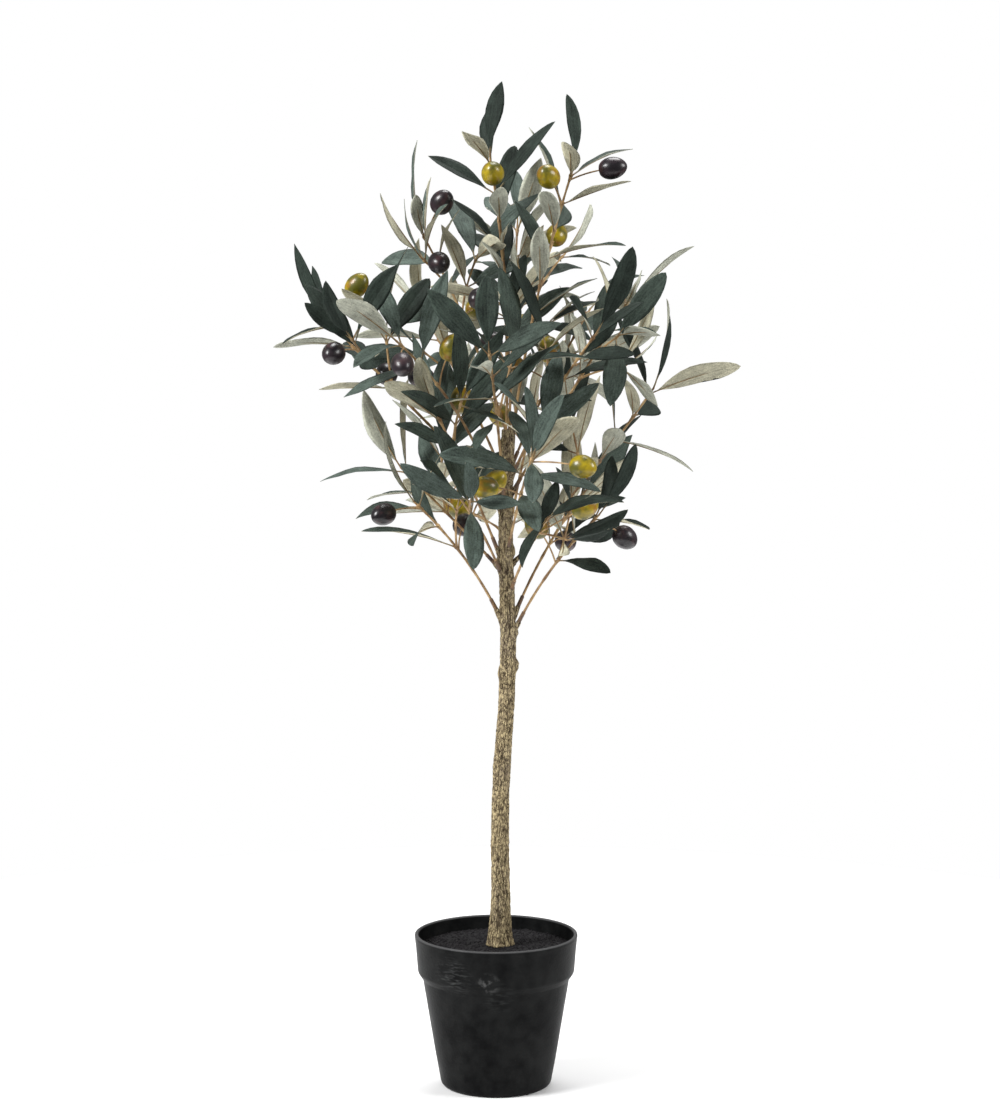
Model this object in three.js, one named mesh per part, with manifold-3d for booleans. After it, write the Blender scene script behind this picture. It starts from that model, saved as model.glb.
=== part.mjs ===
// An artificial olive tree in a black plastic pot, 0.9 m tall, standing on the pot's flat underside.
// Millimetres, +Z up. The origin is the middle of the pot's underside. +X is to the right and +Y is
// away from the side that the tree shows. The pot is filled to just below its rim. A bark trunk stands
// on the filling, wire boughs leave it, and each bough carries one spray of twigs, leaves and olives.

import * as THREE from 'three';
import { mergeVertices } from 'three/addons/utils/BufferGeometryUtils.js';
import Module from 'manifold-3d';

const wasm = await Module();
wasm.setup();

// Driving dimensions
const contactGap = 0.3; // between two pieces that touch

const potHeight = 139;
const potUndersideRadius = 44;
const potFootRadius = 49.7; // of the tapering side, carried down to the underside
const potFootRounding = 6;
const potTaper = 0.164; // growth of the radius for each millimetre of height
const potWall = 2.6;
const potFloor = 3;
const bandFoot = 98; // height where the rim band starts to stand out
const bandSlope = 6.4; // height of its slanted lower edge
const bandRadius = 70.2; // at the top of that slanted edge
const rimRadius = 73.1;
const lipWidth = 3.3;
const lipRounding = 1.4;
const potSides = 32;

const fillLevel = 128.4; // top of the filling, above the pot's underside
const trunkOffset = 3.2; // from the pot's axis to the trunk's foot, along X

const trunkLength = 465;
const trunkFootRadius = 8.6;
const trunkTipRadius = 6;
const flareRadius = 3.7; // how much wider the root flare is, at the very foot
const flareHeight = 20; // it fades over this height
// It leans to the right in two bends, and winds a little: how far, and over which heights
const trunkBends = [
  { shift: 6.7, from: 71, to: 227 },
  { shift: 1.8, from: 340, to: 510 },
];
const trunkWave = { across: 1.27, acrossPitch: 37, start: 0.45, away: 1.4, awayPitch: 75 };
const trunkSides = 10;
const trunkSteps = 24;

const boughFootRadius = 1.6;
const boughTipRadius = 1.4;
const stemTipRadius = 1.1;
const twigFootRadius = 1.35;
const twigTipRadius = 1;
const stalkRadius = 0.95;
const tipRing = 3.6; // distance of the topmost stems from the middle of the trunk's tip
const boughSink = 2; // they start this far inside the trunk before they are cut clear of it

// Faces round each limb, and about how long the steps along it are
const boughFaces = { sides: 5, step: 30 };
const stemFaces = { sides: 5, step: 22 };
const twigFaces = { sides: 3, step: 16 };
const stalkFaces = { sides: 3, step: 14 };

const crownMiddle = new THREE.Vector3(8, 0, 521); // of the rounded space that the crown fills
const crownReach = 214;
const crownHalfHeight = 250;
const crownFloor = 322;

const nodePitch = 25; // between two pairs of leaves
const leafThickness = 1;
const oliveRadius = 10.2;
const oliveHalfLength = 13;
const oliveSink = 2; // how far a stalk runs into its olive

// Room kept round the middle of a leaf's sample points, of a stem and of an olive
const leafRoom = 6;
const stemRoom = 4.5;
const oliveRoom = 15.5;
const barkRoom = 3.5;
const ownStemRoom = 2.4; // between a leaf and the stem that carries it
const rootLength = 15; // a leaf may touch its own stem and its neighbours this near to its root
const twigExtraRoom = 1.5;
const oliveExtraRoom = 12;
const stemStart = 12; // nearer to the trunk's middle than this a bough keeps no room

// What a seed draws from: how often it tries, how far the angle round the stem and the twist may
// differ, and the spread from the stem, the bend, the length and the width's share of the length.
// A blade is slimmer than the room that is kept for it.
const growth = {
  leaf: { tries: 14, turn: 14, twist: 38, spread: [28, 64], bend: [10, 34], length: [66, 88] },
  twig: { tries: 10, turn: 16, spread: [30, 46], bend: [6, 22], length: [40, 60] },
  olive: { tries: 16, turn: 25, spread: [35, 75], bend: [10, 45], length: [26, 42] },
};
const endLeafSpread = [3, 14];
const leafWidthShare = [0.25, 0.31];
const leafSlimness = 0.89;
const shorterEachTry = 0.018;

// Boughs and their sprays. Each row tells the name, the foot's height above the filling, the bearing
// (anticlockwise from +X as seen from above), the rise (slope at the foot), the bend (how far the limb
// leans out by its end), the length of the bare bough, the length of the stem that carries the leaves,
// the number of side twigs, the number of olives, and the seed of the spray.
const boughs = [
  ['low_left', 282, 190, 67, 24, 66, 82, 1, 2, 83],
  ['low_right', 273, 345, 66, 22, 66, 80, 1, 2, 197],
  ['mid_left', 334, 165, 46, 4, 44, 92, 1, 1, 114],
  ['mid_left_steep', 337, 205, 68, 6, 92, 66, 1, 1, 31],
  ['mid_right', 339, 5, 47, -8, 60, 148, 2, 0, 141],
  ['mid_front', 347, 283, 55, 18, 60, 86, 1, 2, 59],
  ['high_right', 398, 352, 61, 4, 90, 122, 2, 0, 220],
  ['high_left', 402, 180, 44, -3, 96, 126, 2, 3, 183],
  ['high_left_front', 375, 208, 76, 36, 110, 96, 1, 2, 136],
  ['high_front', 385, 262, 65, 16, 78, 110, 1, 0, 82],
  ['high_front_right', 411, 318, 62, 16, 70, 108, 1, 1, 133],
  ['top_left', 465, 158, 71, 12, 70, 120, 2, 3, 21],
  ['top_right', 465, 352, 82, 10, 70, 164, 2, 3, 134],
  ['leader', 465, 222, 94, 17, 30, 209, 2, 3, 342],
  ['top_back', 465, 84, 74, 12, 60, 130, 1, 1, 39],
  ['low_back', 289, 95, 62, 24, 62, 92, 1, 1, 105],
  ['mid_back', 357, 75, 54, 12, 70, 100, 1, 1, 22],
  ['high_back_left', 416, 128, 56, 12, 84, 104, 1, 1, 97],
  ['high_back_right', 421, 48, 58, 12, 78, 106, 1, 1, 129],
  ['low_front', 312, 290, 50, 20, 66, 70, 1, 1, 18],
  ['low_front_left', 322, 228, 64, 20, 52, 66, 1, 1, 49],
  ['low_back_right', 284, 32, 66, 20, 62, 84, 1, 1, 23],
].map(([name, foot, bearing, rise, bend, bough, spray, twigs, olives, seed]) => (
  { name, foot, bearing, rise, bend, bough, spray, twigs, olives, seed }
));

// Knots on the trunk: height above the filling, bearing, half width and half height, and how far
// each one stands out
const knots = [
  { height: 254, bearing: 5, width: 5.5, length: 5, out: 3.4 },
  { height: 247, bearing: 175, width: 5, length: 6, out: 1.6 },
  { height: 317, bearing: 262, width: 4.5, length: 5, out: 1.2 },
  { height: 162, bearing: 215, width: 5, length: 7, out: 1.4 },
  { height: 284, bearing: 350, width: 4, length: 4.5, out: 2.6 },
  { height: 298, bearing: 186, width: 4, length: 6, out: 2.8 },
  { height: 345, bearing: 178, width: 5.5, length: 6, out: 3.2 },
  { height: 356, bearing: 2, width: 4.5, length: 5, out: 2.8 },
  { height: 452, bearing: 184, width: 3.5, length: 4, out: 2.2 },
];

const radians = THREE.MathUtils.degToRad;

function finish(color, roughness) {
  return new THREE.MeshStandardMaterial({ color, roughness, metalness: 0 });
}

const finishes = {
  pot: finish(0x232324, 0.55),
  filling: finish(0x1d1a18, 0.95),
  bark: finish(0x96805f, 0.9),
  wire: finish(0xb08650, 0.6),
  leaf: finish(0x46584f, 0.8),
};

// A three.js geometry as a solid that can be joined and cut
function solidOf(geometry) {
  geometry.deleteAttribute('normal');
  geometry.deleteAttribute('uv');
  const merged = mergeVertices(geometry);
  return new wasm.Manifold(new wasm.Mesh({
    numProp: 3,
    vertProperties: merged.attributes.position.array,
    triVerts: Uint32Array.from(merged.index.array),
  }));
}

function geometryOf(solid) {
  const mesh = solid.getMesh();
  const geometry = new THREE.BufferGeometry();
  geometry.setAttribute('position', new THREE.BufferAttribute(mesh.vertProperties, 3));
  geometry.setIndex(new THREE.BufferAttribute(mesh.triVerts, 1));
  geometry.computeVertexNormals();
  return geometry;
}

function joined(solids) {
  return solids.reduce((whole, piece) => whole.add(piece));
}

function named(name, geometry, material) {
  const mesh = new THREE.Mesh(geometry, material);
  mesh.name = name;
  return mesh;
}

// Numbers from low to high in an order that the seed fixes
function seeded(seed) {
  let state = seed >>> 0;
  return (low, high) => {
    state = (state + 0x6d2b79f5) >>> 0;
    let mixed = Math.imul(state ^ (state >>> 15), state | 1);
    mixed ^= mixed + Math.imul(mixed ^ (mixed >>> 7), mixed | 61);
    return low + ((high - low) * ((mixed ^ (mixed >>> 14)) >>> 0)) / 4294967296;
  };
}

// A direction turned by an angle towards another one that is square to it
function turned(from, towards, angle) {
  return from.clone().multiplyScalar(Math.cos(angle)).addScaledVector(towards, Math.sin(angle));
}

// A round arc in space: it starts along one way and leans over towards another
class Arc {
  constructor(start, along, lean, bend, length) {
    this.start = start;
    this.along = along;
    this.lean = lean;
    this.bend = bend;
    this.length = length;
    this.side = new THREE.Vector3().crossVectors(along, lean);
  }

  at(s) {
    const half = (this.bend * s) / this.length / 2;
    const chord = half === 0 ? s : (s * Math.sin(half)) / half;
    return this.start.clone()
      .addScaledVector(this.along, Math.cos(half) * chord)
      .addScaledVector(this.lean, Math.sin(half) * chord);
  }

  heading(s) {
    return turned(this.along, this.lean, (this.bend * s) / this.length);
  }

  leaning(s) {
    return turned(this.lean, this.along, (-this.bend * s) / this.length);
  }

  slice(from, to) {
    const share = (to - from) / this.length;
    return new Arc(this.at(from), this.heading(from), this.leaning(from), this.bend * share, to - from);
  }
}

// Bends a geometry that stands on Y, so that its height runs along an arc
function bentAlong(geometry, arc) {
  const place = geometry.attributes.position;
  for (let i = 0; i < place.count; i += 1) {
    const s = place.getY(i);
    const point = arc.at(s)
      .addScaledVector(arc.side, place.getX(i))
      .addScaledVector(arc.leaning(s), place.getZ(i));
    place.setXYZ(i, point.x, point.y, point.z);
  }
  return geometry;
}

function limbSolid(arc, footRadius, tipRadius, { sides, step }) {
  const steps = Math.max(1, Math.round(arc.length / step));
  const geometry = new THREE.CylinderGeometry(tipRadius, footRadius, arc.length, sides, steps);
  geometry.translate(0, arc.length / 2, 0);
  return solidOf(bentAlong(geometry, arc));
}

// Pot and filling

function bodyRadius(height) {
  return potFootRadius + potTaper * height;
}

function potGeometry() {
  const outline = new THREE.Path();
  outline.moveTo(0, 0);
  outline.lineTo(potUndersideRadius, 0);
  outline.quadraticCurveTo(potFootRadius, 0, bodyRadius(potFootRounding), potFootRounding);
  outline.lineTo(bodyRadius(bandFoot), bandFoot);
  outline.lineTo(bandRadius, bandFoot + bandSlope);
  outline.lineTo(rimRadius, potHeight - lipRounding);
  outline.lineTo(rimRadius - lipRounding, potHeight);
  outline.lineTo(rimRadius - lipWidth + 0.4, potHeight);
  outline.lineTo(rimRadius - lipWidth, potHeight - lipRounding);
  outline.lineTo(bandRadius - potWall, bandFoot + bandSlope);
  outline.lineTo(bodyRadius(bandFoot) - potWall, bandFoot - 1);
  outline.lineTo(bodyRadius(potFloor + 2) - potWall, potFloor + 2);
  outline.lineTo(bodyRadius(potFloor) - potWall - 2, potFloor);
  outline.lineTo(0, potFloor);
  return new THREE.LatheGeometry(outline.getPoints(3), potSides).rotateX(Math.PI / 2);
}

// It follows the inside of the pot, a contact gap clear of it
function fillingGeometry() {
  const clear = potWall + contactGap;
  const insideRim = rimRadius - lipWidth;
  const insideBand = bandRadius - potWall;
  const bandTop = bandFoot + bandSlope;
  const share = (fillLevel - bandTop) / (potHeight - lipRounding - bandTop);
  const topRadius = insideBand + (insideRim - insideBand) * share - contactGap;
  const outline = [
    [0, potFloor + contactGap],
    [bodyRadius(potFloor) - clear - 2.2, potFloor + contactGap],
    [bodyRadius(potFloor + 2) - clear - 0.1, potFloor + 2 + contactGap],
    [bodyRadius(bandFoot) - clear - 0.1, bandFoot - 1],
    [insideBand - contactGap - 0.1, bandTop + 0.2],
    [topRadius, fillLevel - 1],
    [topRadius - 1.5, fillLevel],
    [0, fillLevel],
  ];
  const points = outline.map(([radius, height]) => new THREE.Vector2(radius, height));
  return new THREE.LatheGeometry(points, potSides).rotateX(Math.PI / 2);
}

// Trunk

function trunkCentre(height) {
  const { across, acrossPitch, start, away, awayPitch } = trunkWave;
  const bent = trunkBends.reduce(
    (sum, { shift, from, to }) => sum + shift * THREE.MathUtils.smoothstep(height, from, to),
    across * (Math.sin(height / acrossPitch + start) - Math.sin(start)),
  );
  return new THREE.Vector3(bent, away * Math.sin(height / awayPitch), height);
}

function trunkRadius(height) {
  const taper = (trunkFootRadius - trunkTipRadius) / trunkLength;
  return trunkFootRadius - taper * height + flareRadius * Math.exp(-height / flareHeight);
}

// Low ridges that wind up the bark, as a share of the radius
function barkRidge(angle, height) {
  return 1 + 0.035 * Math.sin(3 * angle + height / 45) + 0.02 * Math.sin(5 * angle - height / 23);
}

function knotSolid(knot, grow) {
  const bearing = radians(knot.bearing);
  const seat = trunkCentre(knot.height);
  const radius = trunkRadius(knot.height);
  const ball = new THREE.SphereGeometry(1, 6, 4);
  ball.scale(radius + knot.out - 2 + grow, knot.width + grow, knot.length + grow);
  ball.translate(2, 0, 0);
  ball.rotateZ(bearing);
  ball.translate(seat.x, seat.y, seat.z);
  return solidOf(ball);
}

// grow makes the trunk that much larger all round, to cut the boughs clear of it
function trunkSolid(grow) {
  const geometry = new THREE.CylinderGeometry(1, 1, 1, trunkSides, trunkSteps);
  const place = geometry.attributes.position;
  for (let i = 0; i < place.count; i += 1) {
    const share = (place.getY(i) + 0.5) ** 1.25;
    const height = share * trunkLength;
    const angle = Math.atan2(place.getZ(i), place.getX(i));
    const radius = trunkRadius(height) * barkRidge(angle, height) + grow;
    const reach = Math.hypot(place.getX(i), place.getZ(i)) * radius;
    const centre = trunkCentre(height);
    const end = share < 0.5 ? -grow : grow;
    const lift = share === 0 || share === 1 ? end : 0;
    place.setXYZ(i, centre.x + reach * Math.cos(angle), centre.y - reach * Math.sin(angle), height + lift);
  }
  return joined([solidOf(geometry), ...knots.map((knot) => knotSolid(knot, grow))]);
}

// Growth

// What is already there, as points with the room that each one keeps. node and stem are the marks of
// what a point grows from, and reach is how far along its own leaf or stem it lies.
const taken = [];
const noNode = -2;
const noStem = -1;
const trunkMark = 0;

function take(points, room, node, stem) {
  for (const { place, reach } of points) {
    taken.push({ place, reach, room, node, stem });
  }
}

function isFree(points, node, stem, extra) {
  const bounds = new THREE.Box3().setFromPoints(points.map(({ place }) => place)).expandByScalar(30);
  for (const other of taken) {
    if (!bounds.containsPoint(other.place)) {
      continue;
    }
    const room = (other.room + extra) ** 2;
    for (const { place, reach } of points) {
      const distance = place.distanceToSquared(other.place);
      if (distance >= room) {
        continue;
      }
      const sameNode = other.node === node && (reach < rootLength || other.reach < rootLength);
      const sameStem = other.stem === stem && (reach < rootLength || distance > ownStemRoom ** 2);
      if (!sameNode && !sameStem) {
        return false;
      }
    }
  }
  return true;
}

function insideCrown(points) {
  return points.every(({ place }) => {
    const across = Math.hypot(place.x - crownMiddle.x, place.y - crownMiddle.y) / crownReach;
    const up = (place.z - crownMiddle.z) / crownHalfHeight;
    return place.z > crownFloor && across ** 2 + up ** 2 < 1;
  });
}

function pointsAlong(arc, from, ownReach) {
  const count = Math.max(2, Math.ceil((arc.length - from) / 5) + 1);
  return Array.from({ length: count }, (_, i) => {
    const s = from + ((arc.length - from) * i) / (count - 1);
    return { place: arc.at(s), reach: ownReach ? s : Infinity };
  });
}

// Half of a blade's width as a share of its greatest, from the root of its stalk to its point
function bladeShare(t) {
  const u = Math.min(1, Math.max(0, (t - 0.12) / 0.88));
  return Math.sin(Math.PI * u ** 0.95) ** 0.8;
}

function pointsOnLeaf(arc, width) {
  const rows = 12;
  return [-1, -0.35, 0.35, 1].flatMap((across) => Array.from({ length: rows }, (_, i) => {
    const t = 0.14 + (0.86 * i) / (rows - 1);
    const offset = (across * bladeShare(t) * width) / 2;
    return { place: arc.at(t * arc.length).addScaledVector(arc.side, offset), reach: t * arc.length };
  }));
}

// An arc that leaves a host stem: turn goes round the stem, spread leans out from it, and twist
// rolls the arc about itself. Its upper side faces the host's tip.
function offshoot(host, s, turn, spread, twist, bend, length) {
  const heading = host.heading(s);
  const outward = turned(host.leaning(s), host.side, turn);
  const along = turned(heading, outward, spread);
  const upper = turned(outward.negate(), heading, spread);
  const rolled = turned(upper, new THREE.Vector3().crossVectors(along, upper), twist);
  return new Arc(host.at(s), along, rolled.negate(), bend, length);
}

// Where the pairs of leaves stand along a stem, with the last pair close to its end
function nodePlaces(length) {
  const count = Math.max(1, Math.floor((length - 4) / nodePitch));
  return Array.from({ length: count }, (_, i) => length - 7 - nodePitch * (count - 1 - i));
}

let lastMark = 1;
function newMark() {
  lastMark += 1;
  return lastMark;
}

// Each of these draws a shape until one is free, and takes the room of that one

function growLeaf(spray, draw, host, s, roll, stem, node, isLast) {
  const range = growth.leaf;
  for (let attempt = 0; attempt < range.tries; attempt += 1) {
    const turn = roll + radians(draw(-range.turn, range.turn)) * (1 + attempt / 4);
    const spread = radians(draw(...(isLast ? endLeafSpread : range.spread)));
    const twist = radians(draw(-range.twist, range.twist)) * (1 + attempt / 8);
    const bend = radians(draw(...range.bend));
    const length = draw(...range.length) * (1 - attempt * shorterEachTry);
    const width = length * draw(...leafWidthShare);
    const arc = offshoot(host, s, turn, spread, twist, bend, length);
    const points = pointsOnLeaf(arc, width);
    if (insideCrown(points) && isFree(points, node, stem, 0)) {
      take(points, leafRoom, node, noStem);
      spray.leaves.push({ arc, width });
      return;
    }
  }
}

function growTwig(spray, draw, host, s, roll, stem, node) {
  const range = growth.twig;
  for (let attempt = 0; attempt < range.tries; attempt += 1) {
    const turn = roll + radians(draw(-range.turn, range.turn)) * (1 + attempt / 4);
    const spread = radians(draw(...range.spread));
    const bend = radians(draw(...range.bend));
    const length = draw(...range.length);
    const arc = offshoot(host, s, turn, spread, 0, bend, length);
    const points = pointsAlong(arc, 0, true);
    if (insideCrown(points) && isFree(points, node, stem, twigExtraRoom)) {
      const mark = newMark();
      take(points, stemRoom, node, mark);
      spray.twigs.push(arc);
      return { arc, mark };
    }
  }
  return null;
}

function growOlive(spray, draw, host, s, roll, stem, node) {
  const range = growth.olive;
  for (let attempt = 0; attempt < range.tries; attempt += 1) {
    const turn = roll + radians(draw(-range.turn, range.turn)) * (1 + attempt / 3);
    const spread = radians(draw(...range.spread));
    const bend = radians(draw(...range.bend));
    const length = draw(...range.length);
    const stalk = offshoot(host, s, turn, spread, 0, bend, length);
    const points = pointsAlong(stalk, 0, true);
    const centre = stalk.at(length).addScaledVector(stalk.heading(length), oliveHalfLength - oliveSink);
    const middle = [{ place: centre, reach: Infinity }];
    const isRoom = isFree(points, node, stem, 0) && isFree(middle, node, stem, oliveExtraRoom);
    if (isRoom && insideCrown(middle)) {
      const mark = newMark();
      take(points, stemRoom, node, mark);
      take(middle, oliveRoom, node, mark);
      spray.olives.push({ stalk, centre });
      return true;
    }
  }
  return false;
}

// One spray: pairs of leaves stand crosswise up its stem, some of them give way to side twigs with
// pairs of their own, and olives hang between the pairs.
function growSpray(row, path, stem) {
  const spray = { leaves: [], twigs: [], olives: [] };
  const draw = seeded(row.seed * 7919 + row.foot * 31 + row.bearing);
  const phase = radians(draw(0, 180));
  const places = nodePlaces(row.spray);
  const leafPlaces = [];
  let hung = 0;
  places.forEach((place, i) => {
    const s = row.bough + place;
    const node = newMark();
    const roll = phase + (i * Math.PI) / 2;
    const twigSide = i < Math.min(row.twigs, places.length - 1) ? i % 2 : -1;
    if (hung < row.olives && (i % 2 === 0 || places.length - i <= row.olives - hung)) {
      hung += growOlive(spray, draw, path, s - 3, roll + Math.PI / 2, stem, node) ? 1 : 0;
    }
    for (const side of [0, 1]) {
      const turn = roll + side * Math.PI;
      const twig = side === twigSide ? growTwig(spray, draw, path, s, turn, stem, node) : null;
      if (twig) {
        const twigPhase = radians(draw(0, 180));
        nodePlaces(twig.arc.length).forEach((q, k) => {
          const twigNode = newMark();
          for (const half of [0, Math.PI]) {
            const twigTurn = twigPhase + (k * Math.PI) / 2 + half;
            leafPlaces.push([twig.arc, q, twigTurn, twig.mark, twigNode, false]);
          }
        });
        leafPlaces.push([twig.arc, twig.arc.length - 1, twigPhase, twig.mark, newMark(), true]);
      } else {
        leafPlaces.push([path, s, turn, stem, node, false]);
      }
    }
  });
  leafPlaces.push([path, row.bough + row.spray - 1, phase, stem, newMark(), true]);
  for (const leafPlace of leafPlaces) {
    growLeaf(spray, draw, ...leafPlace);
  }
  return spray;
}

// A bough and the stem of its spray lie on one arc, in the upright plane of the bough's bearing
function limbPath(row) {
  const bearing = radians(row.bearing);
  const rise = radians(row.rise);
  const out = new THREE.Vector3(Math.cos(bearing), Math.sin(bearing), 0);
  const along = out.clone().multiplyScalar(Math.cos(rise)).setZ(Math.sin(rise));
  const lean = out.clone().multiplyScalar(Math.sin(rise)).setZ(-Math.cos(rise));
  const start = trunkCentre(row.foot);
  if (row.foot >= trunkLength) {
    start.addScaledVector(out, tipRing).setZ(trunkLength + contactGap);
  }
  return new Arc(start, along, lean, radians(row.bend), row.bough + row.spray);
}

// A blade with its stalk: a ball pulled flat and long, with its root on the stem's axis
function leafSolid({ arc, width }) {
  const half = (width / 2) * leafSlimness;
  const rows = [
    [0, 0, 0],
    [0.13, 0.9, 0.9],
    [0.46, half * bladeShare(0.46), 1],
    [0.76, half * bladeShare(0.76), 0.8],
    [1, 0, 0],
  ];
  const geometry = new THREE.SphereGeometry(1, 4, rows.length - 1);
  const place = geometry.attributes.position;
  for (let i = 0; i < place.count; i += 1) {
    const row = Math.round((Math.acos(-place.getY(i)) / Math.PI) * (rows.length - 1));
    const [t, halfWidth, thickness] = rows[row];
    const ring = Math.hypot(place.getX(i), place.getZ(i)) || 1;
    const across = (place.getX(i) / ring) * halfWidth;
    const deep = (place.getZ(i) / ring) * thickness * (leafThickness / 2);
    place.setXYZ(i, across, t * arc.length, deep);
  }
  return solidOf(bentAlong(geometry, arc));
}

function oliveSolid({ stalk, centre }) {
  const ball = new THREE.SphereGeometry(1, 6, 5);
  ball.scale(oliveRadius, oliveHalfLength, oliveRadius);
  const tip = stalk.length;
  const axes = new THREE.Matrix4().makeBasis(stalk.side, stalk.heading(tip), stalk.leaning(tip));
  ball.applyMatrix4(axes.setPosition(centre));
  return solidOf(ball).add(limbSolid(stalk, stalkRadius, stalkRadius, stalkFaces));
}

function spraySolid(row, path, spray) {
  const stemArc = path.slice(row.bough + contactGap, path.length);
  const stem = limbSolid(stemArc, boughTipRadius, stemTipRadius, stemFaces);
  const twigs = spray.twigs.map((arc) => limbSolid(arc, twigFootRadius, twigTipRadius, twigFaces));
  return joined([stem, ...twigs, ...spray.leaves.map(leafSolid), ...spray.olives.map(oliveSolid)]);
}

// Cut clear of the bark and its knots, without the crumbs that the cut may leave
function boughSolid(row, path, trunkCutter) {
  const arc = path.slice(row.foot < trunkLength ? 0 : -boughSink, row.bough);
  const whole = limbSolid(arc, boughFootRadius, boughTipRadius, boughFaces);
  const pieces = whole.subtract(trunkCutter).decompose();
  return pieces.reduce((largest, piece) => (piece.volume() > largest.volume() ? piece : largest));
}

function growTree() {
  const tree = new THREE.Group();
  const trunkCutter = trunkSolid(contactGap);
  const paths = boughs.map(limbPath);
  const stems = boughs.map(newMark);
  for (let height = 0; height <= trunkLength; height += 5) {
    const middle = { place: trunkCentre(height), reach: Infinity };
    take([middle], trunkRadius(height) + barkRoom, trunkMark, trunkMark);
  }
  paths.forEach((path, i) => take(pointsAlong(path, stemStart, false), stemRoom, noNode, stems[i]));
  tree.add(named('trunk', geometryOf(trunkSolid(0)), finishes.bark));
  boughs.forEach((row, i) => {
    const spray = growSpray(row, paths[i], stems[i]);
    tree.add(named(`bough_${row.name}`, geometryOf(boughSolid(row, paths[i], trunkCutter)), finishes.wire));
    tree.add(named(`foliage_${row.name}`, geometryOf(spraySolid(row, paths[i], spray)), finishes.leaf));
  });
  tree.position.set(trunkOffset, 0, fillLevel + contactGap);
  return tree;
}

const group = new THREE.Group();
group.add(named('pot', potGeometry(), finishes.pot));
group.add(named('pot_filling', fillingGeometry(), finishes.filling));
group.add(growTree());

export default group;
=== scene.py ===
# An artificial olive tree in its black plastic pot: ridged bark trunk, wire boughs, sprays of
# two-tone fabric leaves on golden brown stems, and ripe and unripe olives.
#
# The growing rule is worked in millimetres, in the tree's own frame with its foot on the filling.
# Everything that is handed to Blender is in metres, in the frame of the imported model.

import functools
import math
from collections import namedtuple

import bmesh
import bpy
import numpy as np
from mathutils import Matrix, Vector, noise
from mathutils.bvhtree import BVHTree


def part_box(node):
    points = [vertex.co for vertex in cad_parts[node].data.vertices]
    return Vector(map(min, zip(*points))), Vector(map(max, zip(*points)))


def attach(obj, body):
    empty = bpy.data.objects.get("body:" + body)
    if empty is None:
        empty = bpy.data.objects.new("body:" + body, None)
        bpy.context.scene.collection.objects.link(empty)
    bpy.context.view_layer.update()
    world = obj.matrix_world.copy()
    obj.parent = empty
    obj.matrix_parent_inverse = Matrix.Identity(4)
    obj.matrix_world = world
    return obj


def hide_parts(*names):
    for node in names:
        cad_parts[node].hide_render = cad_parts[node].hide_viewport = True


bl_info = {
    "name": "Potted Olive Tree",
    "version": (1, 0, 0),
    "blender": (4, 5, 0),
    "location": "3D Viewport > Sidebar > Olive Tree",
    "description": "Builds an artificial olive tree in a round black pot, with its studio",
    "category": "Object",
}

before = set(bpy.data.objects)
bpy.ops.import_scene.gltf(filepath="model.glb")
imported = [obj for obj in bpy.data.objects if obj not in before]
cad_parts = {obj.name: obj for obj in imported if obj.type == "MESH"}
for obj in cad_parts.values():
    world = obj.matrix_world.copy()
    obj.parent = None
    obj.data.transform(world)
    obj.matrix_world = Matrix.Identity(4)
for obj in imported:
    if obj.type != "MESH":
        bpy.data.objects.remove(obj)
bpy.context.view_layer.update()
_, POT_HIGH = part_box("pot")
FOLIAGE_NODES = sorted(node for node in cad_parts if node.startswith("foliage_"))
BOUGH_NODES = sorted(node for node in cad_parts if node.startswith("bough_"))

MM = 0.001

# A full turn, rounded as the draws have it
FULL_TURN = 6.283

# Where the trunk leaves the filling, in the model's millimetres
TREE_FOOT = np.array([3.2, 0.0, 128.7])

# Sizes that the growing rule shares with the solids

TRUNK_LENGTH = 465.0
TRUNK_FOOT_RADIUS = 8.6
TRUNK_TIP_RADIUS = 6.0
FLARE_RADIUS = 3.7
FLARE_HEIGHT = 20.0
TIP_RING = 3.6
CONTACT_GAP = 0.3

CROWN_MIDDLE = np.array([8.0, 0.0, 521.0])
CROWN_REACH = 214.0
CROWN_HALF_HEIGHT = 250.0
CROWN_FLOOR = 322.0

NODE_PITCH = 25.0
OLIVE_RADIUS = 10.2
OLIVE_HALF_LENGTH = 13.0
OLIVE_SINK = 2.0

# The room that is kept round each kind of piece, the smaller room from a piece's own stem, the length
# at a piece's foot that may touch others, and the reach of what has no foot
LEAF_ROOM = 6.0
STEM_ROOM = 4.5
OLIVE_ROOM = 15.5
BARK_ROOM = 3.5
OWN_STEM_ROOM = 2.4
ROOT_LENGTH = 15.0
FAR = 1e9

# How often each kind of piece is tried before its place is left empty
LEAF_TRIES = 14
TWIG_TRIES = 10
OLIVE_TRIES = 16
SMALL_LEAF_TRIES = 24

# The mark of what belongs to no node or stem, as real marks count up from 2
NO_MARK = 0

# Seeds of the draws that no row gives, and the share of olives that are ripe
SMALL_LEAF_SEED = 4021
BLADE_SEED = 977
OLIVE_SEED = 1748
RIPE_SHARE = 0.42

# Radii at the foot and at the tip of a bark stub and of each kind of stem, and the pitch of the points
# along a stem
STUB_RADII = (3.5, 2.1)
BOUGH_RADII = (1.25, 1.15)
SPRAY_RADII = (1.3, 0.95)
LEADER_RADII = (2.4, 0.95)
TWIG_RADII = (1.1, 0.85)
STALK_RADII = (0.8, 0.62)
LINE_PITCH = 4.0

# Size of the collars on a stem and on a twig, against the collar's own shape
STEM_COLLAR = 1.0
TWIG_COLLAR = 0.85

# Shares of a leaf's length: where its blade starts, where it starts to turn, and where its tip droops
STALK_SHARE = 0.12
TURN_SHARE = 0.15
DROOP_SHARE = 0.55

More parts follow.
